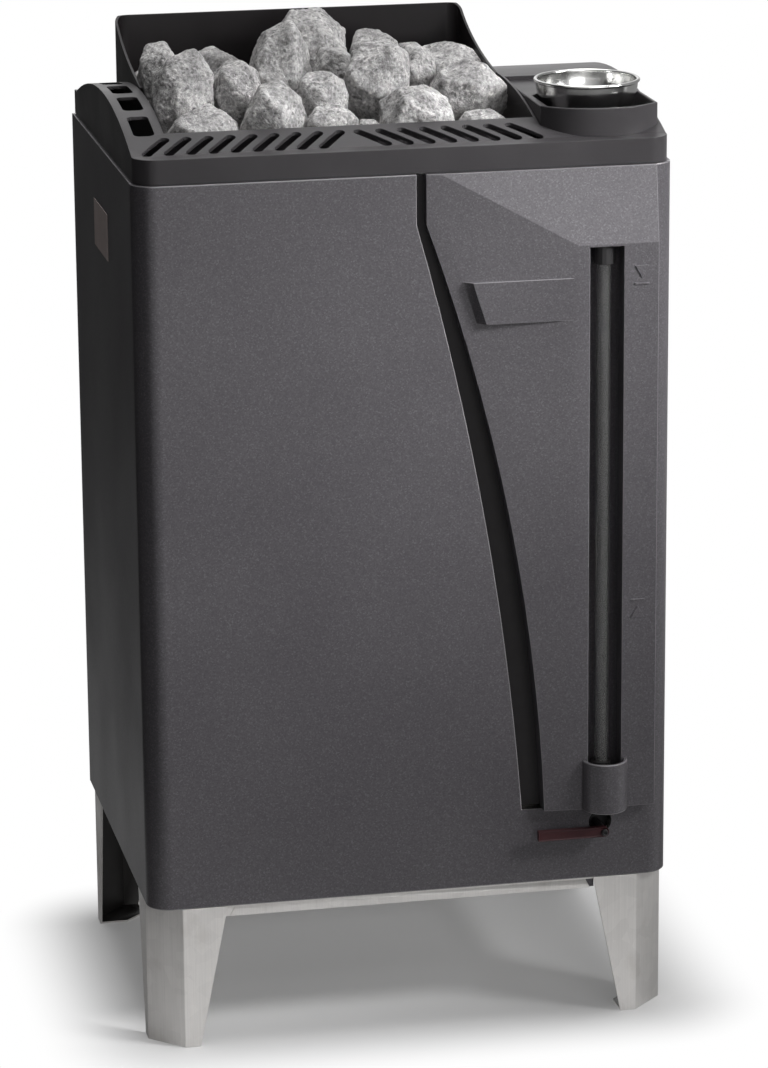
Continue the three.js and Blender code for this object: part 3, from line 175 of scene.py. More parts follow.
def eased(node, name, radius, crease=25.0):
    """A copy of a solid with its outer edges rounded, whose upward and side edges are marked for a
    painted highlight.
    """
    bm = bmesh.new()
    bm.from_mesh(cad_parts[node].data)
    bmesh.ops.remove_doubles(bm, verts=bm.verts, dist=1e-5)
    bmesh.ops.dissolve_limit(bm, angle_limit=0.01, verts=bm.verts, edges=bm.edges)
    limit = math.radians(crease)
    patch = {}
    width = []
    for first in bm.faces:
        if first in patch:
            continue
        patch[first] = len(width)
        pending = [first]
        area = 0.0
        rim = 0.0
        while pending:
            face = pending.pop()
            area += face.calc_area()
            for edge in face.edges:
                if edge.calc_face_angle(math.pi) > limit:
                    rim += edge.calc_length()
                    continue
                for other in edge.link_faces:
                    if other not in patch:
                        patch[other] = len(width)
                        pending.append(other)
        width.append(2.0 * area / max(rim, 1e-6))
    weight = bm.edges.layers.float.new("bevel_weight_edge")
    for edge in bm.edges:
        angle = edge.calc_face_angle_signed(0.0)
        edge.smooth = abs(angle) <= limit or angle > 0.0
        if angle > limit:
            room = min(width[patch[f]] for f in edge.link_faces)
            edge[weight] = min(1.0, 0.35 * room / radius)
    for face in bm.faces:
        face.smooth = True
    mesh = bpy.data.meshes.new(name)
    bm.to_mesh(mesh)
    bm.free()
    mesh.materials.append(None)
    mesh.materials.append(None)
    piece = bpy.data.objects.new(name, mesh)
    bpy.context.scene.collection.objects.link(piece)
    bevel = piece.modifiers.new("ease", "BEVEL")
    bevel.limit_method = "WEIGHT"
    bevel.width = radius
    bevel.segments = 3
    bevel.material = 1
    piece.modifiers.new("even", "WEIGHTED_NORMAL").keep_sharp = True
    settled(piece)
    bm = bmesh.new()
    bm.from_mesh(piece.data)
    # Bevel faces whose edge is not turned down are marked "edge"; the powder coat colours them paler as a
    # painted highlight.
    rubbed_and_highlit = bm.faces.layers.float.new("edge")
    for face in bm.faces:
        turn = max(face.edges, key=lambda edge: edge.calc_length()).calc_face_angle(0.0)
        face[rubbed_and_highlit] = float(face.material_index == 1 and turn > sharp_turn
                             and face.normal.z > underside)
        face.material_index = 0
    bm.to_mesh(piece.data)
    bm.free()
    return piece


def settled(piece):
    """Turns a piece's modifiers into plain mesh."""
    graph = bpy.context.evaluated_depsgraph_get()
    mesh = bpy.data.meshes.new_from_object(piece.evaluated_get(graph), depsgraph=graph)
    mesh.name = piece.name
    piece.modifiers.clear()
    piece.data = mesh
    return piece


def fitted(piece, finish, slot, *nodes, body="stove"):
    """Gives a piece its finish and its place in the assembly."""
    piece.data.materials.clear()
    piece.data.materials.append(finish)
    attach(piece, body)
    if nodes:
        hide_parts(*nodes)
    return piece


def darkened_inside(leg, least_area, foot_top):
    """Marks the broad faces of a leg that look in under the stove, and the top of its foot, which are
    coloured near-black.
    """
    bm = bmesh.new()
    bm.from_mesh(leg.data)
    inside = bm.faces.layers.float.new("inside")
    for face in bm.faces:
        middle = face.calc_center_median()
        inward = -Vector((middle.x, middle.y, 0.0)).normalized()
        broad = face.calc_area() > least_area and face.normal.dot(inward) > 0.35
        foot = middle.z < foot_top and face.normal.z > 0.7
        face[inside] = float(broad or foot)
    bm.to_mesh(leg.data)
    bm.free()
    return leg


for corner in ("front_left", "front_right", "rear_left", "rear_right"):
    leg = darkened_inside(eased("leg_" + corner, "folded_leg_" + corner, 0.0006), 0.0005, 0.02)
    fitted(leg, zinc_finish, "galvanised_sheet", "leg_" + corner)
fitted(eased("base_tray", "folded_base_tray", 0.0006), zinc_finish, "galvanised_sheet", "base_tray")


def flat_bar(name, low, high):
    """A plain bar of sheet between two corners."""
    bm = bmesh.new()
    bmesh.ops.create_cube(bm, size=1.0)
    for vert in bm.verts:
        vert.co = [high[axis] if vert.co[axis] > 0.0 else low[axis] for axis in range(3)]
    mesh = bpy.data.meshes.new(name)
    bm.to_mesh(mesh)
    bm.free()
    piece = bpy.data.objects.new(name, mesh)
    bpy.context.scene.collection.objects.link(piece)
    return piece


fitted(flat_bar("flange_lap", (-0.1672, -0.1696, 0.1193), (-0.1570, -0.1683, 0.1278)),
       zinc_finish, "galvanised_sheet")


# Stone well: the chamber, its heat shield and the element plate are plain galvanised sheet,
# spot-welded and hidden under the stones. They keep their solids and take the sheet's finish.
def dress(finish, *nodes):
    """Puts a finish on solids that are shown as they are."""
    for node in nodes:
        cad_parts[node].material_slots[0].material = finish


dress(zinc_finish, "heat_shield", "stone_chamber", "element_plate", "tank_stand",
      "terminal_box", "terminal_box_lid")


# Stone grate and heating elements: mild steel that the heat has turned dark and mottled.
# Each element is a tube bent to a hoop, with both feet in the element plate.
def heat_steel():
    """Scaled steel: dark brown-grey with bluish and rusty patches."""
    material, tree, shader, place = new_finish("heat_steel", Metallic=0.85)
    patches = noise(tree, place, 45.0, 6.0, 0.65)
    grain = noise(tree, place, 700.0, 3.0)
    scale = ramp(tree, patches, (0.25, (0.05, 0.052, 0.06)), (0.5, (0.10, 0.095, 0.09)),
                 (0.75, (0.16, 0.11, 0.08)))
    tree.links.new(scale, shader.inputs["Base Color"])
    tree.links.new(spread(tree, patches, 0.4, 0.7), shader.inputs["Roughness"])
    bumped(tree, shader, grain, 0.2, 0.0003)
    return material


scaled_finish = heat_steel()
fitted(eased("stone_grate", "stone_grate_plate", 0.0008), scaled_finish, "heat_steel", "stone_grate")
dress(scaled_finish, "immersion_heater")


def group_tree(name, *inputs):
    """An empty Geometry Nodes tree with its named inputs, and its input and output nodes."""
    tree = bpy.data.node_groups.new(name, "GeometryNodeTree")
    tree.interface.new_socket("Geometry", in_out="INPUT", socket_type="NodeSocketGeometry")
    for label, kind in inputs:
        tree.interface.new_socket(label, in_out="INPUT", socket_type="NodeSocket" + kind)
    tree.interface.new_socket("Geometry", in_out="OUTPUT", socket_type="NodeSocketGeometry")
    return tree, tree.nodes.new("NodeGroupInput").outputs, tree.nodes.new("NodeGroupOutput")


def closing(tree, geometry, finish, end):
    """Ends a tree: instances made real, then the finish."""
    real = put(tree, "GeometryNodeRealizeInstances", {"Geometry": geometry})
    painted = put(tree, "GeometryNodeSetMaterial", {
        "Geometry": real.outputs["Geometry"], "Material": finish})
    tree.links.new(painted.outputs["Geometry"], end.inputs["Geometry"])


def grown(name, mesh, tree, **values):
    """A piece made by a tree from a starting mesh, with the tree's inputs set by name."""
    piece = bpy.data.objects.new(name, mesh)
    bpy.context.scene.collection.objects.link(piece)
    modifier = piece.modifiers.new(tree.name, "NODES")
    modifier.node_group = tree
    for item in tree.interface.items_tree:
        if item.in_out == "INPUT" and item.name.replace(" ", "_") in values:
            modifier[item.identifier] = values[item.name.replace(" ", "_")]
    return settled(piece)


def bent_tube_tree():
    """A tube swept along the starting mesh's edges, with rounded bends."""
    tree, given, end = group_tree(
        "bent_tube", ("Bend", "Float"), ("Tube radius", "Float"), ("Finish", "Material"))
    line = put(tree, "GeometryNodeMeshToCurve", {"Mesh": given["Geometry"]})
    bent = put(tree, "GeometryNodeFilletCurve", {
        "Curve": line.outputs["Curve"], "Radius": given["Bend"], "Count": 10,
        "Limit Radius": True}, mode="POLY")
    ring = put(tree, "GeometryNodeCurvePrimitiveCircle", {
        "Resolution": 20, "Radius": given["Tube radius"]})
    swept = put(tree, "GeometryNodeCurveToMesh", {
        "Curve": bent.outputs["Curve"], "Profile Curve": ring.outputs["Curve"], "Fill Caps": True})
    closing(tree, swept.outputs["Mesh"], given["Finish"], end)
    return tree


bent_tube = bent_tube_tree()
element_radius = 0.004
element_bend = 0.024
for row in ("front", "middle", "rear"):
    low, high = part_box("heating_element_" + row)
    y = (low.y + high.y) / 2
    x0, x1 = low.x + element_radius, high.x - element_radius
    top = high.z - element_radius
    hoop = bpy.data.meshes.new("hoop")
    hoop.from_pydata([(x0, y, low.z), (x0, y, top), (x1, y, top), (x1, y, low.z)],
                     [(0, 1), (1, 2), (2, 3)], [])
    piece = grown("element_hoop_" + row, hoop, bent_tube, Bend=element_bend,
                  Tube_radius=element_radius, Finish=scaled_finish)
    piece.data.shade_smooth()
    fitted(piece, scaled_finish, "heat_steel", "heating_element_" + row)


# Evaporator: a welded stainless tank on a sheet stand, with a thermostat on its back.
# It stands unseen behind the sight glass.
def tank_steel():
    """Mill-finished stainless sheet with a fine upright grain."""
    material, tree, shader, place = new_finish("tank_steel", Metallic=1.0)
    grain = noise(tree, stretched(tree, place, (1200.0, 1200.0, 20.0)), 1.0, 2.0)
    tree.links.new(ramp(tree, grain, (0.3, (0.48, 0.48, 0.47)), (0.7, (0.58, 0.58, 0.57))),
                   shader.inputs["Base Color"])
    tree.links.new(spread(tree, grain, 0.26, 0.42), shader.inputs["Roughness"])
    bumped(tree, shader, grain, 0.08, 0.0002)
    return material


def moulded_plastic(name, colour, worn, roughness, gloss=0.5):
    """Moulded plastic: fine grain from the tool, a little paler where it is handled."""
    material, tree, shader, place = new_finish(name, Specular_IOR_Level=gloss)
    cloud = noise(tree, place, 60.0, 4.0, 0.6)
    grain = noise(tree, place, 1800.0, 2.0)
    tree.links.new(ramp(tree, cloud, (0.35, colour), (0.75, worn)), shader.inputs["Base Color"])
    tree.links.new(spread(tree, cloud, roughness - 0.06, roughness + 0.08),
                   shader.inputs["Roughness"])
    bumped(tree, shader, grain, 0.15, 0.0002)
    return material


black_plastic = moulded_plastic("black_plastic", (0.014, 0.013, 0.014), (0.024, 0.023, 0.024), 0.45, 0.35)
dress(tank_steel(), "evaporator_tank")
dress(black_plastic, "tank_thermostat")


# Mains inlet: a terminal block in a small sheet box, and a black gland with a hexagon nut
# through the rear panel, ready for the lead.
dress(moulded_plastic("terminal_plastic", (0.60, 0.57, 0.49), (0.68, 0.65, 0.57), 0.5),
      "terminal_block")


def turned(name, profile, centre, level=False, sides=64):
    """A turned piece: (radius, height) points round an upright or a level axis."""
    bm = bmesh.new()
    rings = []
    for radius, height in profile:
        count = sides if radius > 1e-7 else 1
        ring = []
        for i in range(count):
            angle = 2.0 * math.pi * i / sides
            a, b = radius * math.cos(angle), radius * math.sin(angle)
            spot = Vector((a, height, b)) if level else Vector((a, b, height))
            ring.append(bm.verts.new(spot + Vector(centre)))
        rings.append(ring)
    if len(rings[0]) > 1:
        rings.append(rings[0])
    for lower, upper in zip(rings, rings[1:]):
        for i in range(sides):
            j = (i + 1) % sides
            corners = [lower[i % len(lower)], lower[j % len(lower)],
                       upper[j % len(upper)], upper[i % len(upper)]]
            bm.faces.new(list(dict.fromkeys(corners)))
    bmesh.ops.recalc_face_normals(bm, faces=bm.faces)
    for face in bm.faces:
        face.smooth = True
    mesh = bpy.data.meshes.new(name)
    bm.to_mesh(mesh)
    bm.free()
    mesh.set_sharp_from_angle(angle=math.radians(32.0))
    piece = bpy.data.objects.new(name, mesh)
    bpy.context.scene.collection.objects.link(piece)
    return piece


low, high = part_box("cable_gland")
gland_x = (low.x + high.x) / 2
gland_z = (low.z + high.z) / 2
gland_nut = 0.1968
gland_bore = 0.004
gland = turned("gland_dome", [
    (gland_bore, low.y), (0.008, low.y), (0.008, gland_nut + 0.001), (0.0102, gland_nut + 0.001),
    (0.0102, gland_nut + 0.0058), (0.0094, gland_nut + 0.0074), (0.0078, gland_nut + 0.0086),
    (0.0062, gland_nut + 0.009), (gland_bore + 0.0006, gland_nut + 0.0088),
    (gland_bore, gland_nut + 0.0080)], (gland_x, 0.0, gland_z), level=True)
fitted(gland, black_plastic, "black_plastic", "cable_gland")
nut = turned("gland_nut", [
    (0.0101, gland_nut), (0.0112, gland_nut), (0.0121, gland_nut + 0.0006),
    (0.0121, gland_nut + 0.0042), (0.0112, gland_nut + 0.0050), (0.0101, gland_nut + 0.0050)],
    (gland_x, 0.0, gland_z), level=True, sides=6)
nut.data.shade_flat()
fitted(nut, black_plastic, "black_plastic")


# Casing: one steel sheet folded round the front and both sides, powder-coated in a dark
# metallic grey. Its front corners are drawn round and every edge has a returned lip. A short
# bar of the same sheet stiffens the tray behind the right end of its flange.
def powder_coat():
    """Dark metallic powder coat: fine flakes in a satin skin, painted paler along its marked edges as a
    painted highlight.
    """
    material, tree, shader, place = new_finish("powder_coat", Metallic=0.25)
    flakes = put(tree, "ShaderNodeTexVoronoi", {"Vector": place, "Scale": 900.0})
    flake = put(tree, "ShaderNodeSeparateColor", {"Color": flakes.outputs["Color"]})
    cloud = noise(tree, place, 9.0, 4.0, 0.55)
    peel = noise(tree, place, 900.0, 2.0)
    ground = ramp(tree, cloud, (0.3, (0.094, 0.088, 0.097)), (0.7, (0.104, 0.098, 0.107)))
    shine = ramp(tree, flake.outputs["Red"], (0.0, (0.80, 0.80, 0.80)), (0.85, (1.1, 1.1, 1.1)),
                 (1.0, (1.4, 1.4, 1.4)))
    flaked = blended(tree, 1.0, ground, shine, "MULTIPLY")
    # Paler colour on the marked edges: a painted highlight.
    edge = put(tree, "ShaderNodeAttribute", attribute_name="edge").outputs["Fac"]
    tree.links.new(blended(tree, edge, flaked, (0.22, 0.212, 0.223)), shader.inputs["Base Color"])
    tree.links.new(spread(tree, cloud, 0.34, 0.40, 0.3, 0.7), shader.inputs["Roughness"])
    bumped(tree, shader, peel, 0.06, 0.0002)
    return material


coat_finish = powder_coat()
fitted(eased("casing", "folded_casing", 0.0022), coat_finish, "powder_coat", "casing")
fitted(flat_bar("front_stiffener", (0.1480, -0.1676, 0.1195), (0.1675, -0.1661, 0.1278)),
       coat_finish, "powder_coat")


# Rear panel: a flat galvanised sheet with two columns of pressed louvres for the cooling air,
# held to the casing's lips by four pan-head screws.
fitted(eased("rear_panel", "rear_panel_sheet", 0.0006), zinc_finish, "galvanised_sheet", "rear_panel")


def rows_and_columns_tree():
    """The starting mesh repeated in rows and columns on an upright plane."""
    tree, given, end = group_tree(
        "rows_and_columns", ("Width", "Float"), ("Height", "Float"), ("Columns", "Int"),
        ("Rows", "Int"), ("Middle", "Vector"), ("Finish", "Material"))
    grid = put(tree, "GeometryNodeMeshGrid", {
        "Size X": given["Width"], "Size Y": given["Height"],
        "Vertices X": given["Columns"], "Vertices Y": given["Rows"]})
    upright = put(tree, "GeometryNodeTransform", {
        "Geometry": grid.outputs["Mesh"], "Translation": given["Middle"],
        "Rotation": (math.pi / 2, 0.0, 0.0)})
    placed = put(tree, "GeometryNodeInstanceOnPoints", {
        "Points": upright.outputs["Geometry"], "Instance": given["Geometry"]})
    closing(tree, placed.outputs["Instances"], given["Finish"], end)
    return tree


def louvre_mesh(width, height, depth, sheet):
    """One pressed louvre: a hood that stands out from the sheet and opens downwards."""
    bm = bmesh.new()
    sections = 24
    rise = 9
    skins = []
    for inset in (0.0, sheet):
        rows = []
        for i in range(sections + 1):
            u = 2.0 * i / sections - 1.0
            fall = 1.0 - abs(u) ** 4
            column = []
            for j in range(rise + 1):
                v = j / rise
                out = (depth - inset) * fall * math.sin(v * math.pi / 2.0)
                tall = (height - inset) * (0.25 + 0.75 * fall ** 0.5)
                column.append(bm.verts.new(((width / 2 - inset) * u, out, tall * (1.0 - v))))
            rows.append(column)
        skins.append(rows)
    outer, inner = skins
    for rows in (outer, inner):
        for i in range(sections):
            for j in range(rise):
                bm.faces.new((rows[i][j], rows[i + 1][j], rows[i + 1][j + 1], rows[i][j + 1]))
    for i in range(sections):
        bm.faces.new((outer[i][rise], outer[i + 1][rise], inner[i + 1][rise], inner[i][rise]))
        bm.faces.new((outer[i][0], outer[i + 1][0], inner[i + 1][0], inner[i][0]))
    for i in (0, sections):
        for j in range(rise):
            bm.faces.new((outer[i][j], outer[i][j + 1], inner[i][j + 1], inner[i][j]))
    bmesh.ops.recalc_face_normals(bm, faces=bm.faces)
    mesh = bpy.data.meshes.new("louvre")
    bm.to_mesh(mesh)
    bm.free()
    return mesh


rows_and_columns = rows_and_columns_tree()
louvre_pitch = 0.022
louvre_rows = 6
slot_top = 0.714
slot_height = 0.005
panel_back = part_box("rear_panel")[1].y
panel_middle = sum(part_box("rear_panel"), Vector()).x / 2
louvre_foot = slot_top - slot_height - louvre_pitch * (louvre_rows - 1) / 2
louvres = grown(
    "rear_louvres", louvre_mesh(0.074, 0.011, 0.0045, 0.0009), rows_and_columns, Width=0.16,
    Height=louvre_pitch * (louvre_rows - 1), Columns=2, Rows=louvre_rows,
    Middle=(panel_middle, panel_back, louvre_foot), Finish=zinc_finish)
louvres.data.shade_smooth()
louvres.data.set_sharp_from_angle(angle=math.radians(40.0))
fitted(louvres, zinc_finish, "galvanised_sheet")


def screw_steel():
    """Zinc-plated screw steel, bright with dull spots."""
    material, tree, shader, place = new_finish("screw_steel", Metallic=1.0)
    spots = noise(tree, place, 500.0, 4.0)
    tree.links.new(ramp(tree, spots, (0.35, (0.34, 0.34, 0.33)), (0.7, (0.5, 0.5, 0.48))),
                   shader.inputs["Base Color"])
    tree.links.new(spread(tree, spots, 0.25, 0.5), shader.inputs["Roughness"])
    bumped(tree, shader, spots, 0.1, 0.0001)
    return material


screw_finish = screw_steel()
low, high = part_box("rear_screw_1")
low_other, high_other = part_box("rear_screw_4")
head_back = high.y
head_radius = (high.z - low.z) / 2
head_height = 0.0022
pan_head = turned("rear_screws", [
    (0.0, -head_height), (head_radius, -head_height), (head_radius, -0.0014),
    (0.92 * head_radius, -0.0007), (0.72 * head_radius, -0.0002), (0.5 * head_radius, 0.0),
    (0.42 * head_radius, 0.0), (0.30 * head_radius, -0.0009), (0.0, -0.0013)],
    (0.0, 0.0, 0.0), level=True, sides=32)
head_mesh = pan_head.data
bpy.data.objects.remove(pan_head)
corner_low = (low + high) / 2
corner_high = (low_other + high_other) / 2
screws = grown(
    "rear_screws", head_mesh, rows_and_columns, Width=abs(corner_high.x - corner_low.x),
    Height=abs(corner_high.z - corner_low.z), Columns=2, Rows=2,
    Middle=((corner_low.x + corner_high.x) / 2, head_back, (corner_low.z + corner_high.z) / 2),
    Finish=screw_finish)
fitted(screws, screw_finish, "screw_steel", *("rear_screw_%d" % i for i in range(1, 5)))


# Rating plate: a thin satin sheet stuck high on the left side, left bare.
def plate_paint():
    """Satin brown-grey paint, a little worn in patches."""
    material, tree, shader, place = new_finish("plate_paint", Metallic=0.4)
    rubbed_and_highlit = noise(tree, place, 70.0, 5.0, 0.6)
    grain = noise(tree, stretched(tree, place, (900.0, 30.0, 900.0)), 1.0, 2.0)
    tree.links.new(ramp(tree, rubbed_and_highlit, (0.35, (0.55, 0.46, 0.44)), (0.75, (0.64, 0.545, 0.525))),
                   shader.inputs["Base Color"])
    tree.links.new(spread(tree, rubbed_and_highlit, 0.4, 0.55), shader.inputs["Roughness"])
    bumped(tree, shader, grain, 0.08, 0.0001)
    return material


fitted(eased("rating_plate", "bare_plate", 0.0002), plate_paint(), "plate_paint", "rating_plate")


# Gauge cover: a facetted trim of the same coated sheet, set into the casing's front. It holds
# the channel of the sight glass, a bare wedge plate and two raised level marks. A near-black
# strip laid on the floor of the groove on its left is painted shade.
fitted(eased("gauge_cover", "facetted_gauge_cover", 0.0011, crease=7.0), coat_finish,
       "powder_coat", "gauge_cover")


def groove_shade_strip(name, thickness):
    """A thin near-black strip laid on the part of the cover that closes the groove's back, as painted
    shade in the groove.
    """
    floor_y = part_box("casing")[0].y + groove_depth
    bm = bmesh.new()
    bm.from_mesh(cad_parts["gauge_cover"].data)
    bmesh.ops.remove_doubles(bm, verts=bm.verts, dist=1e-5)
    bm.normal_update()
    away = [f for f in bm.faces if f.normal.y > -0.99 or f.calc_center_median().x > groove_right
            or abs(f.calc_center_median().y - floor_y) > 0.001]
    bmesh.ops.delete(bm, geom=away, context="FACES")
    lifted = bmesh.ops.extrude_face_region(bm, geom=bm.faces[:])
    bmesh.ops.translate(bm, vec=(0.0, -thickness, 0.0),
                        verts=[v for v in lifted["geom"] if isinstance(v, bmesh.types.BMVert)])
    bmesh.ops.recalc_face_normals(bm, faces=bm.faces)
    mesh = bpy.data.meshes.new(name)
    bm.to_mesh(mesh)
    bm.free()
    piece = bpy.data.objects.new(name, mesh)
    bpy.context.scene.collection.objects.link(piece)
    return piece


groove_depth = 0.0093
groove_right = 0.13
# The strip's near-black colour stands in for the groove's shade: painted shade.
fitted(groove_shade_strip("groove_strip", 0.0002), moulded_plastic(
    "strip_black", (0.020, 0.018, 0.019), (0.028, 0.026, 0.027), 0.6, 0.3), "black_plastic")


def level_mark_mesh(marks, face):
    """Raised level marks: at each a bar and a triangle with its tip towards the bar."""
    bm = bmesh.new()
    proud = 0.0011
    sunk = 0.0004
    half = 0.0065
    shapes = []
    for x, bar, way in marks:
        shapes.append([(x - half, bar - 0.0010), (x + half, bar - 0.0010),
                       (x + half, bar + 0.0010), (x - half, bar + 0.0010)])
        tip = bar + way * 0.0050
        shapes.append([(x, tip), (x + half, tip + way * 0.0112), (x - half, tip + way * 0.0112)])
    for shape in shapes:
        front = [bm.verts.new((x, face - proud, z)) for x, z in shape]
        back = [bm.verts.new((x, face + sunk, z)) for x, z in shape]
        bm.faces.new(front)
        bm.faces.new(back[::-1])
        for i in range(len(shape)):
            j = (i + 1) % len(shape)
            bm.faces.new((front[i], back[i], back[j], front[j]))
    bmesh.ops.recalc_face_normals(bm, faces=bm.faces)
    bmesh.ops.bevel(bm, geom=bm.edges[:], offset=0.0005, segments=3, affect="EDGES", profile=0.5)
    mesh = bpy.data.meshes.new("level_marks")
    bm.to_mesh(mesh)
    bm.free()
    return mesh


band_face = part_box("gauge_cover")[0].y
marks = bpy.data.objects.new("level_marks", level_mark_mesh(
    ((0.2030, 0.6725, 1.0), (0.2012, 0.3895, -1.0)), band_face))
bpy.context.scene.collection.objects.link(marks)
fitted(marks, coat_finish, "powder_coat")

fitted(eased("gauge_socket", "half_round_socket", 0.0010), coat_finish, "powder_coat", "gauge_socket")


# Sight glass: a clear glass tube that shows the water level, held between two black plastic
# elbows that join it to the tank.
def clear_glass():
    """Clear tube glass with faint streaks from the water."""
    material, tree, shader, place = new_finish(
        "sight_glass", Transmission_Weight=0.96, IOR=1.47)
    shader.inputs["Base Color"].default_value = (0.88, 0.88, 0.87, 1.0)
    streaks = noise(tree, stretched(tree, place, (260.0, 260.0, 9.0)), 1.0, 4.0)
    tree.links.new(spread(tree, streaks, 0.0, 0.04, 0.45, 0.8), shader.inputs["Roughness"])
    return material


glass_low, glass_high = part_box("sight_glass")
glass_x = (glass_low.x + glass_high.x) / 2
glass_y = (glass_low.y + glass_high.y) / 2
glass_radius = 0.006
glass_bore = 0.0045
glass_rim = 0.0004
tube = turned("sight_glass_tube", [
    (glass_bore, glass_low.z + glass_rim), (glass_bore + glass_rim, glass_low.z),
    (glass_radius - glass_rim, glass_low.z), (glass_radius, glass_low.z + glass_rim),
    (glass_radius, glass_high.z - glass_rim), (glass_radius - glass_rim, glass_high.z),
    (glass_bore + glass_rim, glass_high.z), (glass_bore, glass_high.z - glass_rim)],
    (glass_x, glass_y, 0.0))
fitted(tube, clear_glass(), "sight_glass", "sight_glass")
dress(black_plastic, "gauge_lower_fitting", "gauge_upper_fitting")


# Drain: a black plastic valve on the tank with a spindle through the casing. A dark red lever
# with a raised rim is held on the spindle's end by a black screw.
dress(black_plastic, "drain_valve_body")
fitted(turned("drain_spindle_rod", [
    (0.0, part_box("drain_spindle")[0].y), (0.0030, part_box("drain_spindle")[0].y),
    (0.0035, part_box("drain_spindle")[0].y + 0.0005), (0.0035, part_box("drain_spindle")[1].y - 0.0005),
    (0.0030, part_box("drain_spindle")[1].y), (0.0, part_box("drain_spindle")[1].y)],
    (0.1717, 0.0, 0.1775), level=True, sides=32), black_plastic, "black_plastic", "drain_spindle",
    body="drain_handle")


def lever_mesh(low, high):
    """A flat bar, round at the spindle end, with a raised rim round its sunk front."""
    bm = bmesh.new()
    middle = (low.z + high.z) / 2
    half = (high.z - low.z) / 2
    outline = [(low.x, middle + half), (low.x, middle - half)]
    for i in range(17):
        angle = -math.pi / 2 + math.pi * i / 16
        outline.append((high.x - half + half * math.cos(angle), middle + half * math.sin(angle)))
    front = bm.faces.new([bm.verts.new((x, low.y, z)) for x, z in outline])
    ring = bmesh.ops.extrude_face_region(bm, geom=[front])
    moved = [v for v in ring["geom"] if isinstance(v, bmesh.types.BMVert)]
    bmesh.ops.translate(bm, verts=moved, vec=(0.0, high.y - low.y, 0.0))
    bmesh.ops.recalc_face_normals(bm, faces=bm.faces)
    face = min(bm.faces, key=lambda f: f.calc_center_median().y)
    bmesh.ops.inset_region(bm, faces=[face], thickness=0.0013, depth=0.0)
    bmesh.ops.translate(bm, verts=face.verts, vec=(0.0, 0.0009, 0.0))
    mesh = bpy.data.meshes.new("lever")
    bm.to_mesh(mesh)
    bm.free()
    return mesh


red_plastic = moulded_plastic("lever_plastic", (0.036, 0.010, 0.012), (0.048, 0.014, 0.016), 0.5, 0.25)
lever = bpy.data.objects.new("drain_lever_bar", lever_mesh(*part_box("drain_lever")))
bpy.context.scene.collection.objects.link(lever)
lever_ease = lever.modifiers.new("ease", "BEVEL")
lever_ease.width = 0.0005
lever_ease.segments = 3
lever_ease.limit_method = "ANGLE"
lever.data.shade_smooth()
lever.data.set_sharp_from_angle(angle=math.radians(40.0))
fitted(settled(lever), red_plastic, "lever_plastic", "drain_lever", body="drain_handle")

low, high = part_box("lever_screw")
screw = turned("lever_screw_head", [
    (0.0, low.y + 0.0014), (0.0013, low.y + 0.0012), (0.0015, low.y + 0.0001), (0.0019, low.y),
    (0.0026, low.y + 0.0004), (0.0031, low.y + 0.0011), (0.0032, low.y + 0.0024),
    (0.0020, low.y + 0.0024), (0.0020, high.y), (0.0, high.y)],
    (0.1717, 0.0, 0.1775), level=True, sides=40)
fitted(screw, black_plastic, "black_plastic", "lever_screw", body="drain_handle")


# Top frame: a black cast-and-coated frame round the stones, arched along its sides, with slanted
# air slots in front and long vents on the left.
def frame_black(name, dark, dusty, gloss):
    """Satin black textured coat with a little dust."""
    material, tree, shader, place = new_finish(name, Specular_IOR_Level=gloss)
    cloud = noise(tree, place, 14.0, 5.0, 0.6)
    sand = noise(tree, place, 1500.0, 2.0)
    tree.links.new(ramp(tree, cloud, (0.3, dark), (0.75, dusty)), shader.inputs["Base Color"])
    tree.links.new(spread(tree, cloud, 0.30, 0.40, 0.3, 0.7), shader.inputs["Roughness"])
    bumped(tree, shader, sand, 0.10, 0.0002)
    return material


black_finish = frame_black("frame_black", (0.040, 0.0375, 0.040), (0.051, 0.048, 0.051), 0.22)
fitted(eased("top_frame", "arched_top_frame", 0.0012), black_finish, "frame_black", "top_frame")


# Stone guard: a sheet bent to a U round the back of the stones, coated black; its coat is a darker copy
# of the frame's black, as painted shade.
guard_shaded_black = frame_black("guard_black", (0.011, 0.0093, 0.010), (0.017, 0.0143, 0.0155), 0.25)
fitted(eased("stone_guard", "bent_stone_guard", 0.0010), guard_shaded_black, "frame_black", "stone_guard")


# Evaporator hood: a D-shaped cast tray over the tank, with a recess for the cup and a raised
# deck behind it.
fitted(eased("evaporator_hood", "cup_tray_hood", 0.0022), black_finish, "frame_black",
       "evaporator_hood")


# Herb cup: a spun bowl of polished stainless steel with a rolled rim. It stands loose in the
# recess of the hood.
def polished_steel():
    """Polished stainless with faint turning lines and finger smears."""
    material, tree, shader, place = new_finish("polished_steel", Metallic=1.0)
    smear = noise(tree, place, 55.0, 4.0, 0.6)
    lines = noise(tree, stretched(tree, place, (30.0, 30.0, 2600.0)), 1.0, 2.0)
    tree.links.new(ramp(tree, smear, (0.35, (0.62, 0.62, 0.61)), (0.75, (0.70, 0.70, 0.69))),
                   shader.inputs["Base Color"])
    tree.links.new(spread(tree, smear, 0.13, 0.24, 0.35, 0.75), shader.inputs["Roughness"])
    bumped(tree, shader, lines, 0.04, 0.0001)
    return material


cup_low, cup_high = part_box("herb_cup")
cup_x = (cup_low.x + cup_high.x) / 2
cup_y = (cup_low.y + cup_high.y) / 2
cup_rim = (cup_high.x - cup_low.x) / 2
cup_neck = 0.0446
cup_depth = 0.048
cup_wall = 0.0012
cup_roll = 0.0017
rim_level = cup_high.z - cup_roll
roll_centre = cup_rim - cup_roll


def bowl_side(radius, depth, floor, points=26):
    """The bowl's rounded side from its flat base up to the rim."""
    lowest = math.asin((rim_level - floor) / depth)
    angles = [lowest * (1 - i / points) for i in range(points)]
    return [(radius * math.cos(a), rim_level - depth * math.sin(a)) for a in angles]


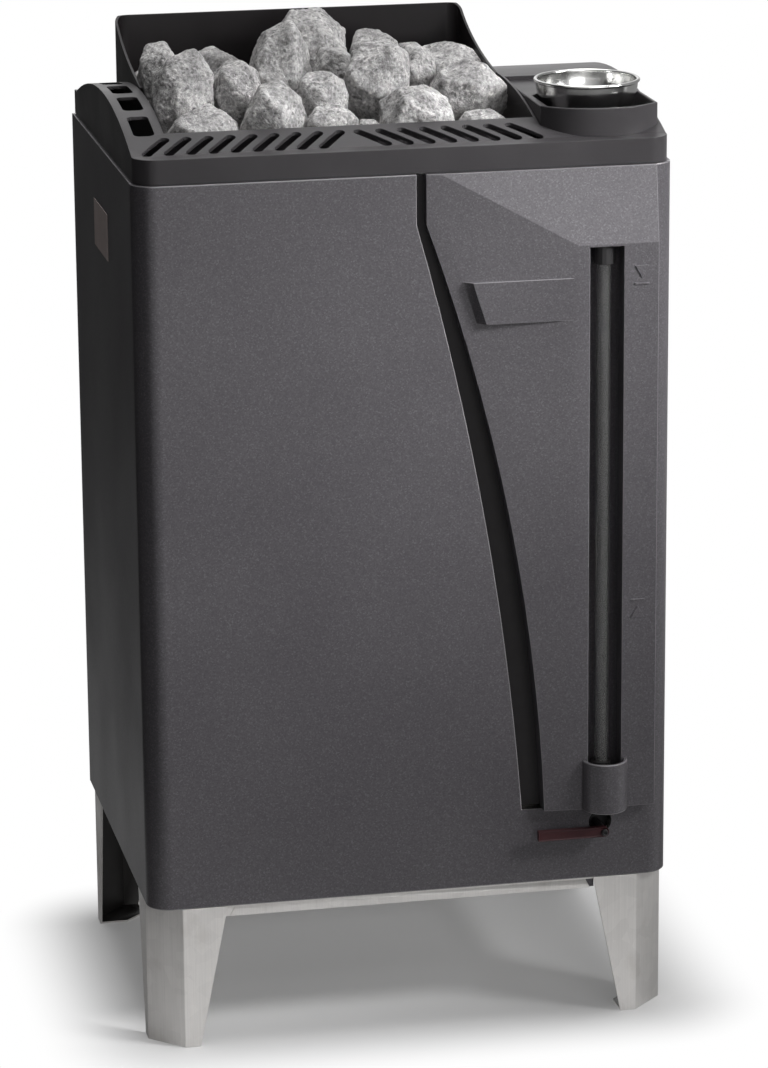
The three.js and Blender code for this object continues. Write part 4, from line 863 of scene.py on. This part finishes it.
roll_from = -math.acos((cup_neck - roll_centre) / cup_roll)
roll_to = 2.0 * math.pi - math.acos((cup_neck - cup_wall - roll_centre) / cup_roll)
rim_roll = [(roll_centre + cup_roll * math.cos(a), rim_level + cup_roll * math.sin(a))
            for a in (roll_from + (roll_to - roll_from) * i / 20 for i in range(21))]
bowl = turned("herb_cup_bowl", [
    (0.0, cup_low.z), *bowl_side(cup_neck, cup_depth, cup_low.z), *rim_roll,
    *reversed(bowl_side(cup_neck - cup_wall, cup_depth - cup_wall, cup_low.z + cup_wall)),
    (0.0, cup_low.z + cup_wall)], (cup_x, cup_y, 0.0), sides=96)
fitted(bowl, polished_steel(), "polished_steel", "herb_cup", body="cup")


# Stones: broken pale granite, loose on the grate. Each keeps the form of its solid, with worn
# edges, chipped faces and a rough grain.
def granite():
    """Granite: pale grey with dark and white grains and a soft change of tone."""
    material, tree, shader, place = new_finish("granite")
    patch = noise(tree, place, 60.0, 6.0, 0.65)
    grains = put(tree, "ShaderNodeTexVoronoi", {"Vector": place, "Scale": 430.0})
    grain = put(tree, "ShaderNodeSeparateColor", {"Color": grains.outputs["Color"]})
    fine = noise(tree, place, 330.0, 6.0, 0.7)
    ground = ramp(tree, patch, (0.34, (0.26, 0.254, 0.254)), (0.64, (0.60, 0.590, 0.585)))
    speck = ramp(tree, grain.outputs["Red"], (0.0, (0.50, 0.50, 0.50)), (0.2, (0.92, 0.92, 0.92)),
                 (0.75, (1.0, 1.0, 1.0)), (1.0, (1.3, 1.3, 1.29)))
    tinted = blended(tree, 1.0, ground, speck, "MULTIPLY")
    dusty = ramp(tree, fine, (0.35, (0.62, 0.62, 0.62)), (0.65, (1.25, 1.25, 1.25)))
    tree.links.new(blended(tree, 1.0, tinted, dusty, "MULTIPLY"), shader.inputs["Base Color"])
    tree.links.new(spread(tree, grain.outputs["Green"], 0.72, 0.95), shader.inputs["Roughness"])
    bumped(tree, shader, fine, 0.7, 0.0014)
    return material


def broken_stone_tree():
    """Worn edges, scalloped breaks and a rough grain on a plain angular solid."""
    tree, given, end = group_tree(
        "broken_stone", ("Seed", "Float"), ("Break depth", "Float"), ("Grain depth", "Float"),
        ("Finish", "Material"))
    fine = put(tree, "GeometryNodeSubdivideMesh", {"Mesh": given["Geometry"], "Level": 5})
    spot = put(tree, "GeometryNodeInputPosition").outputs["Position"]
    worn = put(tree, "GeometryNodeBlurAttribute", {
        "Value": spot, "Iterations": 1, "Weight": 1.0}, data_type="FLOAT_VECTOR")
    rounded = put(tree, "GeometryNodeSetPosition", {
        "Geometry": fine.outputs["Mesh"],
        "Position": next(s for s in worn.outputs if s.enabled)})
    breaks = put(tree, "ShaderNodeTexVoronoi", {
        "Vector": spot, "W": given["Seed"], "Scale": 34.0}, voronoi_dimensions="4D")
    clouds = put(tree, "ShaderNodeTexNoise", {
        "Vector": spot, "W": given["Seed"], "Scale": 75.0, "Detail": 9.0,
        "Roughness": 0.66}, noise_dimensions="4D")
    heights = []
    for value, rest, depth in ((breaks.outputs["Distance"], 0.35, "Break depth"),
                               (clouds.outputs["Fac"], 0.2, "Grain depth")):
        centred = put(tree, "ShaderNodeMath", operation="SUBTRACT")
        tree.links.new(value, centred.inputs[0])
        centred.inputs[1].default_value = rest
        scaled = put(tree, "ShaderNodeMath", operation="MULTIPLY")
        tree.links.new(centred.outputs[0], scaled.inputs[0])
        tree.links.new(given[depth], scaled.inputs[1])
        heights.append(scaled.outputs[0])
    total = put(tree, "ShaderNodeMath", operation="ADD")
    tree.links.new(heights[0], total.inputs[0])
    tree.links.new(heights[1], total.inputs[1])
    outward = put(tree, "ShaderNodeVectorMath", operation="SCALE")
    tree.links.new(put(tree, "GeometryNodeInputNormal").outputs["Normal"], outward.inputs[0])
    tree.links.new(total.outputs[0], outward.inputs["Scale"])
    broken = put(tree, "GeometryNodeSetPosition", {
        "Geometry": rounded.outputs["Geometry"], "Offset": outward.outputs[0]})
    closing(tree, broken.outputs["Geometry"], given["Finish"], end)
    return tree


stone_finish = granite()
facet_angle = math.radians(18.0)
broken_stone = broken_stone_tree()
stones = sorted(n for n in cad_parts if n.startswith("stone_") and n[6:].isdigit())
for number, node in enumerate(stones, 1):
    bm = bmesh.new()
    bm.from_mesh(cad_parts[node].data)
    bmesh.ops.remove_doubles(bm, verts=bm.verts, dist=1e-5)
    bmesh.ops.dissolve_limit(bm, angle_limit=facet_angle, verts=bm.verts, edges=bm.edges)
    bmesh.ops.triangulate(bm, faces=bm.faces)
    hull = bpy.data.meshes.new(node)
    bm.to_mesh(hull)
    bm.free()
    piece = grown("granite_" + node, hull, broken_stone, Seed=7.3 * number, Break_depth=0.003,
                  Grain_depth=0.007, Finish=stone_finish)
    piece.data.shade_smooth()
    fitted(piece, stone_finish, "granite", node)


# Studio: a white room with a lit wall behind the camera and a dark side on the left, one soft lamp
# from the right and one above. The pale floor keeps the stove's shadow, lifted by a faint painted
# glow, and runs out to white; in reflections it shows painted shade and a painted bright band.
def chosen_ray(tree, *kinds):
    """1 for rays of the given kinds, 0 for others."""
    path = put(tree, "ShaderNodeLightPath").outputs
    value = path[kinds[0]]
    for kind in kinds[1:]:
        either = put(tree, "ShaderNodeMath", operation="MAXIMUM")
        tree.links.new(value, either.inputs[0])
        tree.links.new(path[kind], either.inputs[1])
        value = either.outputs[0]
    return value


def mixed(tree, factor, one, other):
    """Two shaders mixed by a factor."""
    made = put(tree, "ShaderNodeMixShader", {"Fac": factor})
    tree.links.new(one.outputs[0], made.inputs[1])
    tree.links.new(other.outputs[0], made.inputs[2])
    return made


def from_stove(tree, place, half_width, half_depth):
    """Distance on the floor from the stove's footprint."""
    value = place
    for operation, operand in (("ABSOLUTE", None), ("SUBTRACT", (half_width, half_depth, 0.0)),
                               ("MAXIMUM", (0.0, 0.0, 0.0)), ("LENGTH", None)):
        made = put(tree, "ShaderNodeVectorMath", operation=operation)
        tree.links.new(value, made.inputs[0])
        if operand:
            made.inputs[1].default_value = operand
        value = made.outputs["Value" if operation == "LENGTH" else "Vector"]
    return value


def pale_floor():
    """Pale floor that keeps the shadow near the stove, lifted by a faint painted glow, and runs out to
    white; bounced light sees a darker copy, and reflections see a painted glow.
    """
    material = bpy.data.materials.new("pale_floor")
    material.use_nodes = True
    tree = material.node_tree
    tree.nodes.clear()
    place = put(tree, "ShaderNodeTexCoord").outputs["Object"]
    away = from_stove(tree, place, 0.215, 0.15)
    # Even at the footprint one part in eight of the seen floor is white glow: painted light that lifts
    # the shadow.
    fade = put(tree, "ShaderNodeMapRange", {
        "Value": away, "From Min": 0.0, "From Max": 0.12, "To Min": 0.12, "To Max": 1.0},
        interpolation_type="SMOOTHSTEP")
    paper = put(tree, "ShaderNodeBsdfDiffuse", {"Color": (0.9, 0.9, 0.9, 1.0)})
    white = put(tree, "ShaderNodeEmission", {"Color": (1.0, 1.0, 1.0, 1.0), "Strength": 1.0})
    dim = put(tree, "ShaderNodeBsdfDiffuse", {"Color": (0.5, 0.5, 0.5, 1.0)})
    # Reflections see the floor as a glow that changes from back to front: painted shade under the stove,
    # a painted bright band just in front of it, a painted dark strip about half a metre out, then white
    # far off.
    across = put(tree, "ShaderNodeSeparateXYZ", {"Vector": place}).outputs["Y"]
    ahead = spread(tree, across, 0.0, 1.0, 0.34, -6.16)
    painted_floor_glow = put(tree, "ShaderNodeEmission", {"Strength": 1.0, "Color": ramp(
        tree, ahead, (0.0, (0.28, 0.28, 0.28)), (0.077, (0.22, 0.22, 0.22)), (0.079, (0.8, 0.8, 0.8)),
        (0.110, (0.8, 0.8, 0.8)), (0.135, (0.05, 0.05, 0.05)), (0.54, (0.22, 0.22, 0.22)),
        (1.0, (1.0, 1.0, 1.0)))})
    seen = mixed(tree, fade.outputs["Result"], paper, white)
    plain = mixed(tree, chosen_ray(tree, "Is Camera Ray", "Is Transmission Ray"), dim, seen)
    shown = mixed(tree, chosen_ray(tree, "Is Glossy Ray"), plain, painted_floor_glow)
    out = put(tree, "ShaderNodeOutputMaterial")
    tree.links.new(shown.outputs[0], out.inputs["Surface"])
    return material


def sheet_object(name, corners, finish):
    """A flat sheet of the studio."""
    mesh = bpy.data.meshes.new(name)
    mesh.from_pydata(corners, [], [(0, 1, 2, 3)])
    mesh.materials.append(finish)
    piece = bpy.data.objects.new(name, mesh)
    bpy.context.scene.collection.objects.link(piece)
    return piece


floor_half = 30.0
sheet_object("floor", [(-floor_half, -floor_half, 0.0), (floor_half, -floor_half, 0.0),
                       (floor_half, floor_half, 0.0), (-floor_half, floor_half, 0.0)], pale_floor())

card_finish = bpy.data.materials.new("dark_card")
card_finish.use_nodes = True
card_shader = card_finish.node_tree.nodes["Principled BSDF"]
card_shader.inputs["Base Color"].default_value = (0.01, 0.01, 0.01, 1.0)
card_shader.inputs["Roughness"].default_value = 1.0
card = sheet_object("dark_card", [(-0.5, -0.5, 0.0), (-0.5, 2.6, 0.0), (-0.5, 2.6, 1.4),
                                  (-0.5, -0.5, 1.4)], card_finish)
card.visible_camera = False
card.visible_diffuse = False
card.visible_shadow = False
card.visible_transmission = False

world = bpy.data.worlds.new("white_room")
world.use_nodes = True
room = world.node_tree
room.nodes.clear()
way = put(room, "ShaderNodeSeparateXYZ", {
    "Vector": put(room, "ShaderNodeTexCoord").outputs["Generated"]}).outputs
side = ramp(room, spread(room, way["X"], 0.0, 1.0, -1.0, 1.0), (0.1, (0.12, 0.12, 0.12)),
            (0.45, (1.0, 1.0, 1.0)), (0.65, (1.0, 1.0, 1.0)), (0.82, (0.3, 0.3, 0.3)))
soft = put(room, "ShaderNodeBackground", {
    "Color": (1.0, 1.0, 1.0, 1.0), "Strength": spread(room, way["X"], 0.06, 0.13, -0.8, 0.3)})
white = put(room, "ShaderNodeBackground", {"Color": (1.0, 1.0, 1.0, 1.0), "Strength": 1.0})
mirrored = put(room, "ShaderNodeBackground", {"Color": (1.0, 1.0, 1.0, 1.0), "Strength": side})
seen = mixed(room, chosen_ray(room, "Is Camera Ray", "Is Transmission Ray"), soft, white)
shown = mixed(room, chosen_ray(room, "Is Glossy Ray"), seen, mirrored)
room.links.new(shown.outputs[0], put(room, "ShaderNodeOutputWorld").inputs["Surface"])
bpy.context.scene.world = world


def softbox(name, width, height, power, at, towards, beam=180.0):
    """A soft lamp turned to a point of the stove; a grid narrows its beam."""
    lamp = bpy.data.lights.new(name, "AREA")
    lamp.shape = "RECTANGLE"
    lamp.size = width
    lamp.size_y = height
    lamp.energy = power
    lamp.spread = math.radians(beam)
    lamp_object = bpy.data.objects.new(name, lamp)
    bpy.context.scene.collection.objects.link(lamp_object)
    aim = Vector(towards) - Vector(at)
    lamp_object.matrix_world = Matrix.Translation(at) @ aim.to_track_quat("-Z", "Y").to_matrix().to_4x4()
    lamp_object.visible_camera = False


softbox("lit_wall", 3.0, 1.3, 37.0, (0.9, -4.8, 1.50), (0.1, 0.0, 0.6))
softbox("gridded_softbox", 0.42, 0.42, 2.0, (1.15, -0.90, 1.32), (0.02, -0.17, 0.58), beam=36.0)
softbox("top_softbox", 1.4, 1.4, 28.0, (0.15, 0.1, 2.7), (0.0, 0.0, 0.8))

scene = bpy.context.scene
scene.view_settings.view_transform = "Standard"
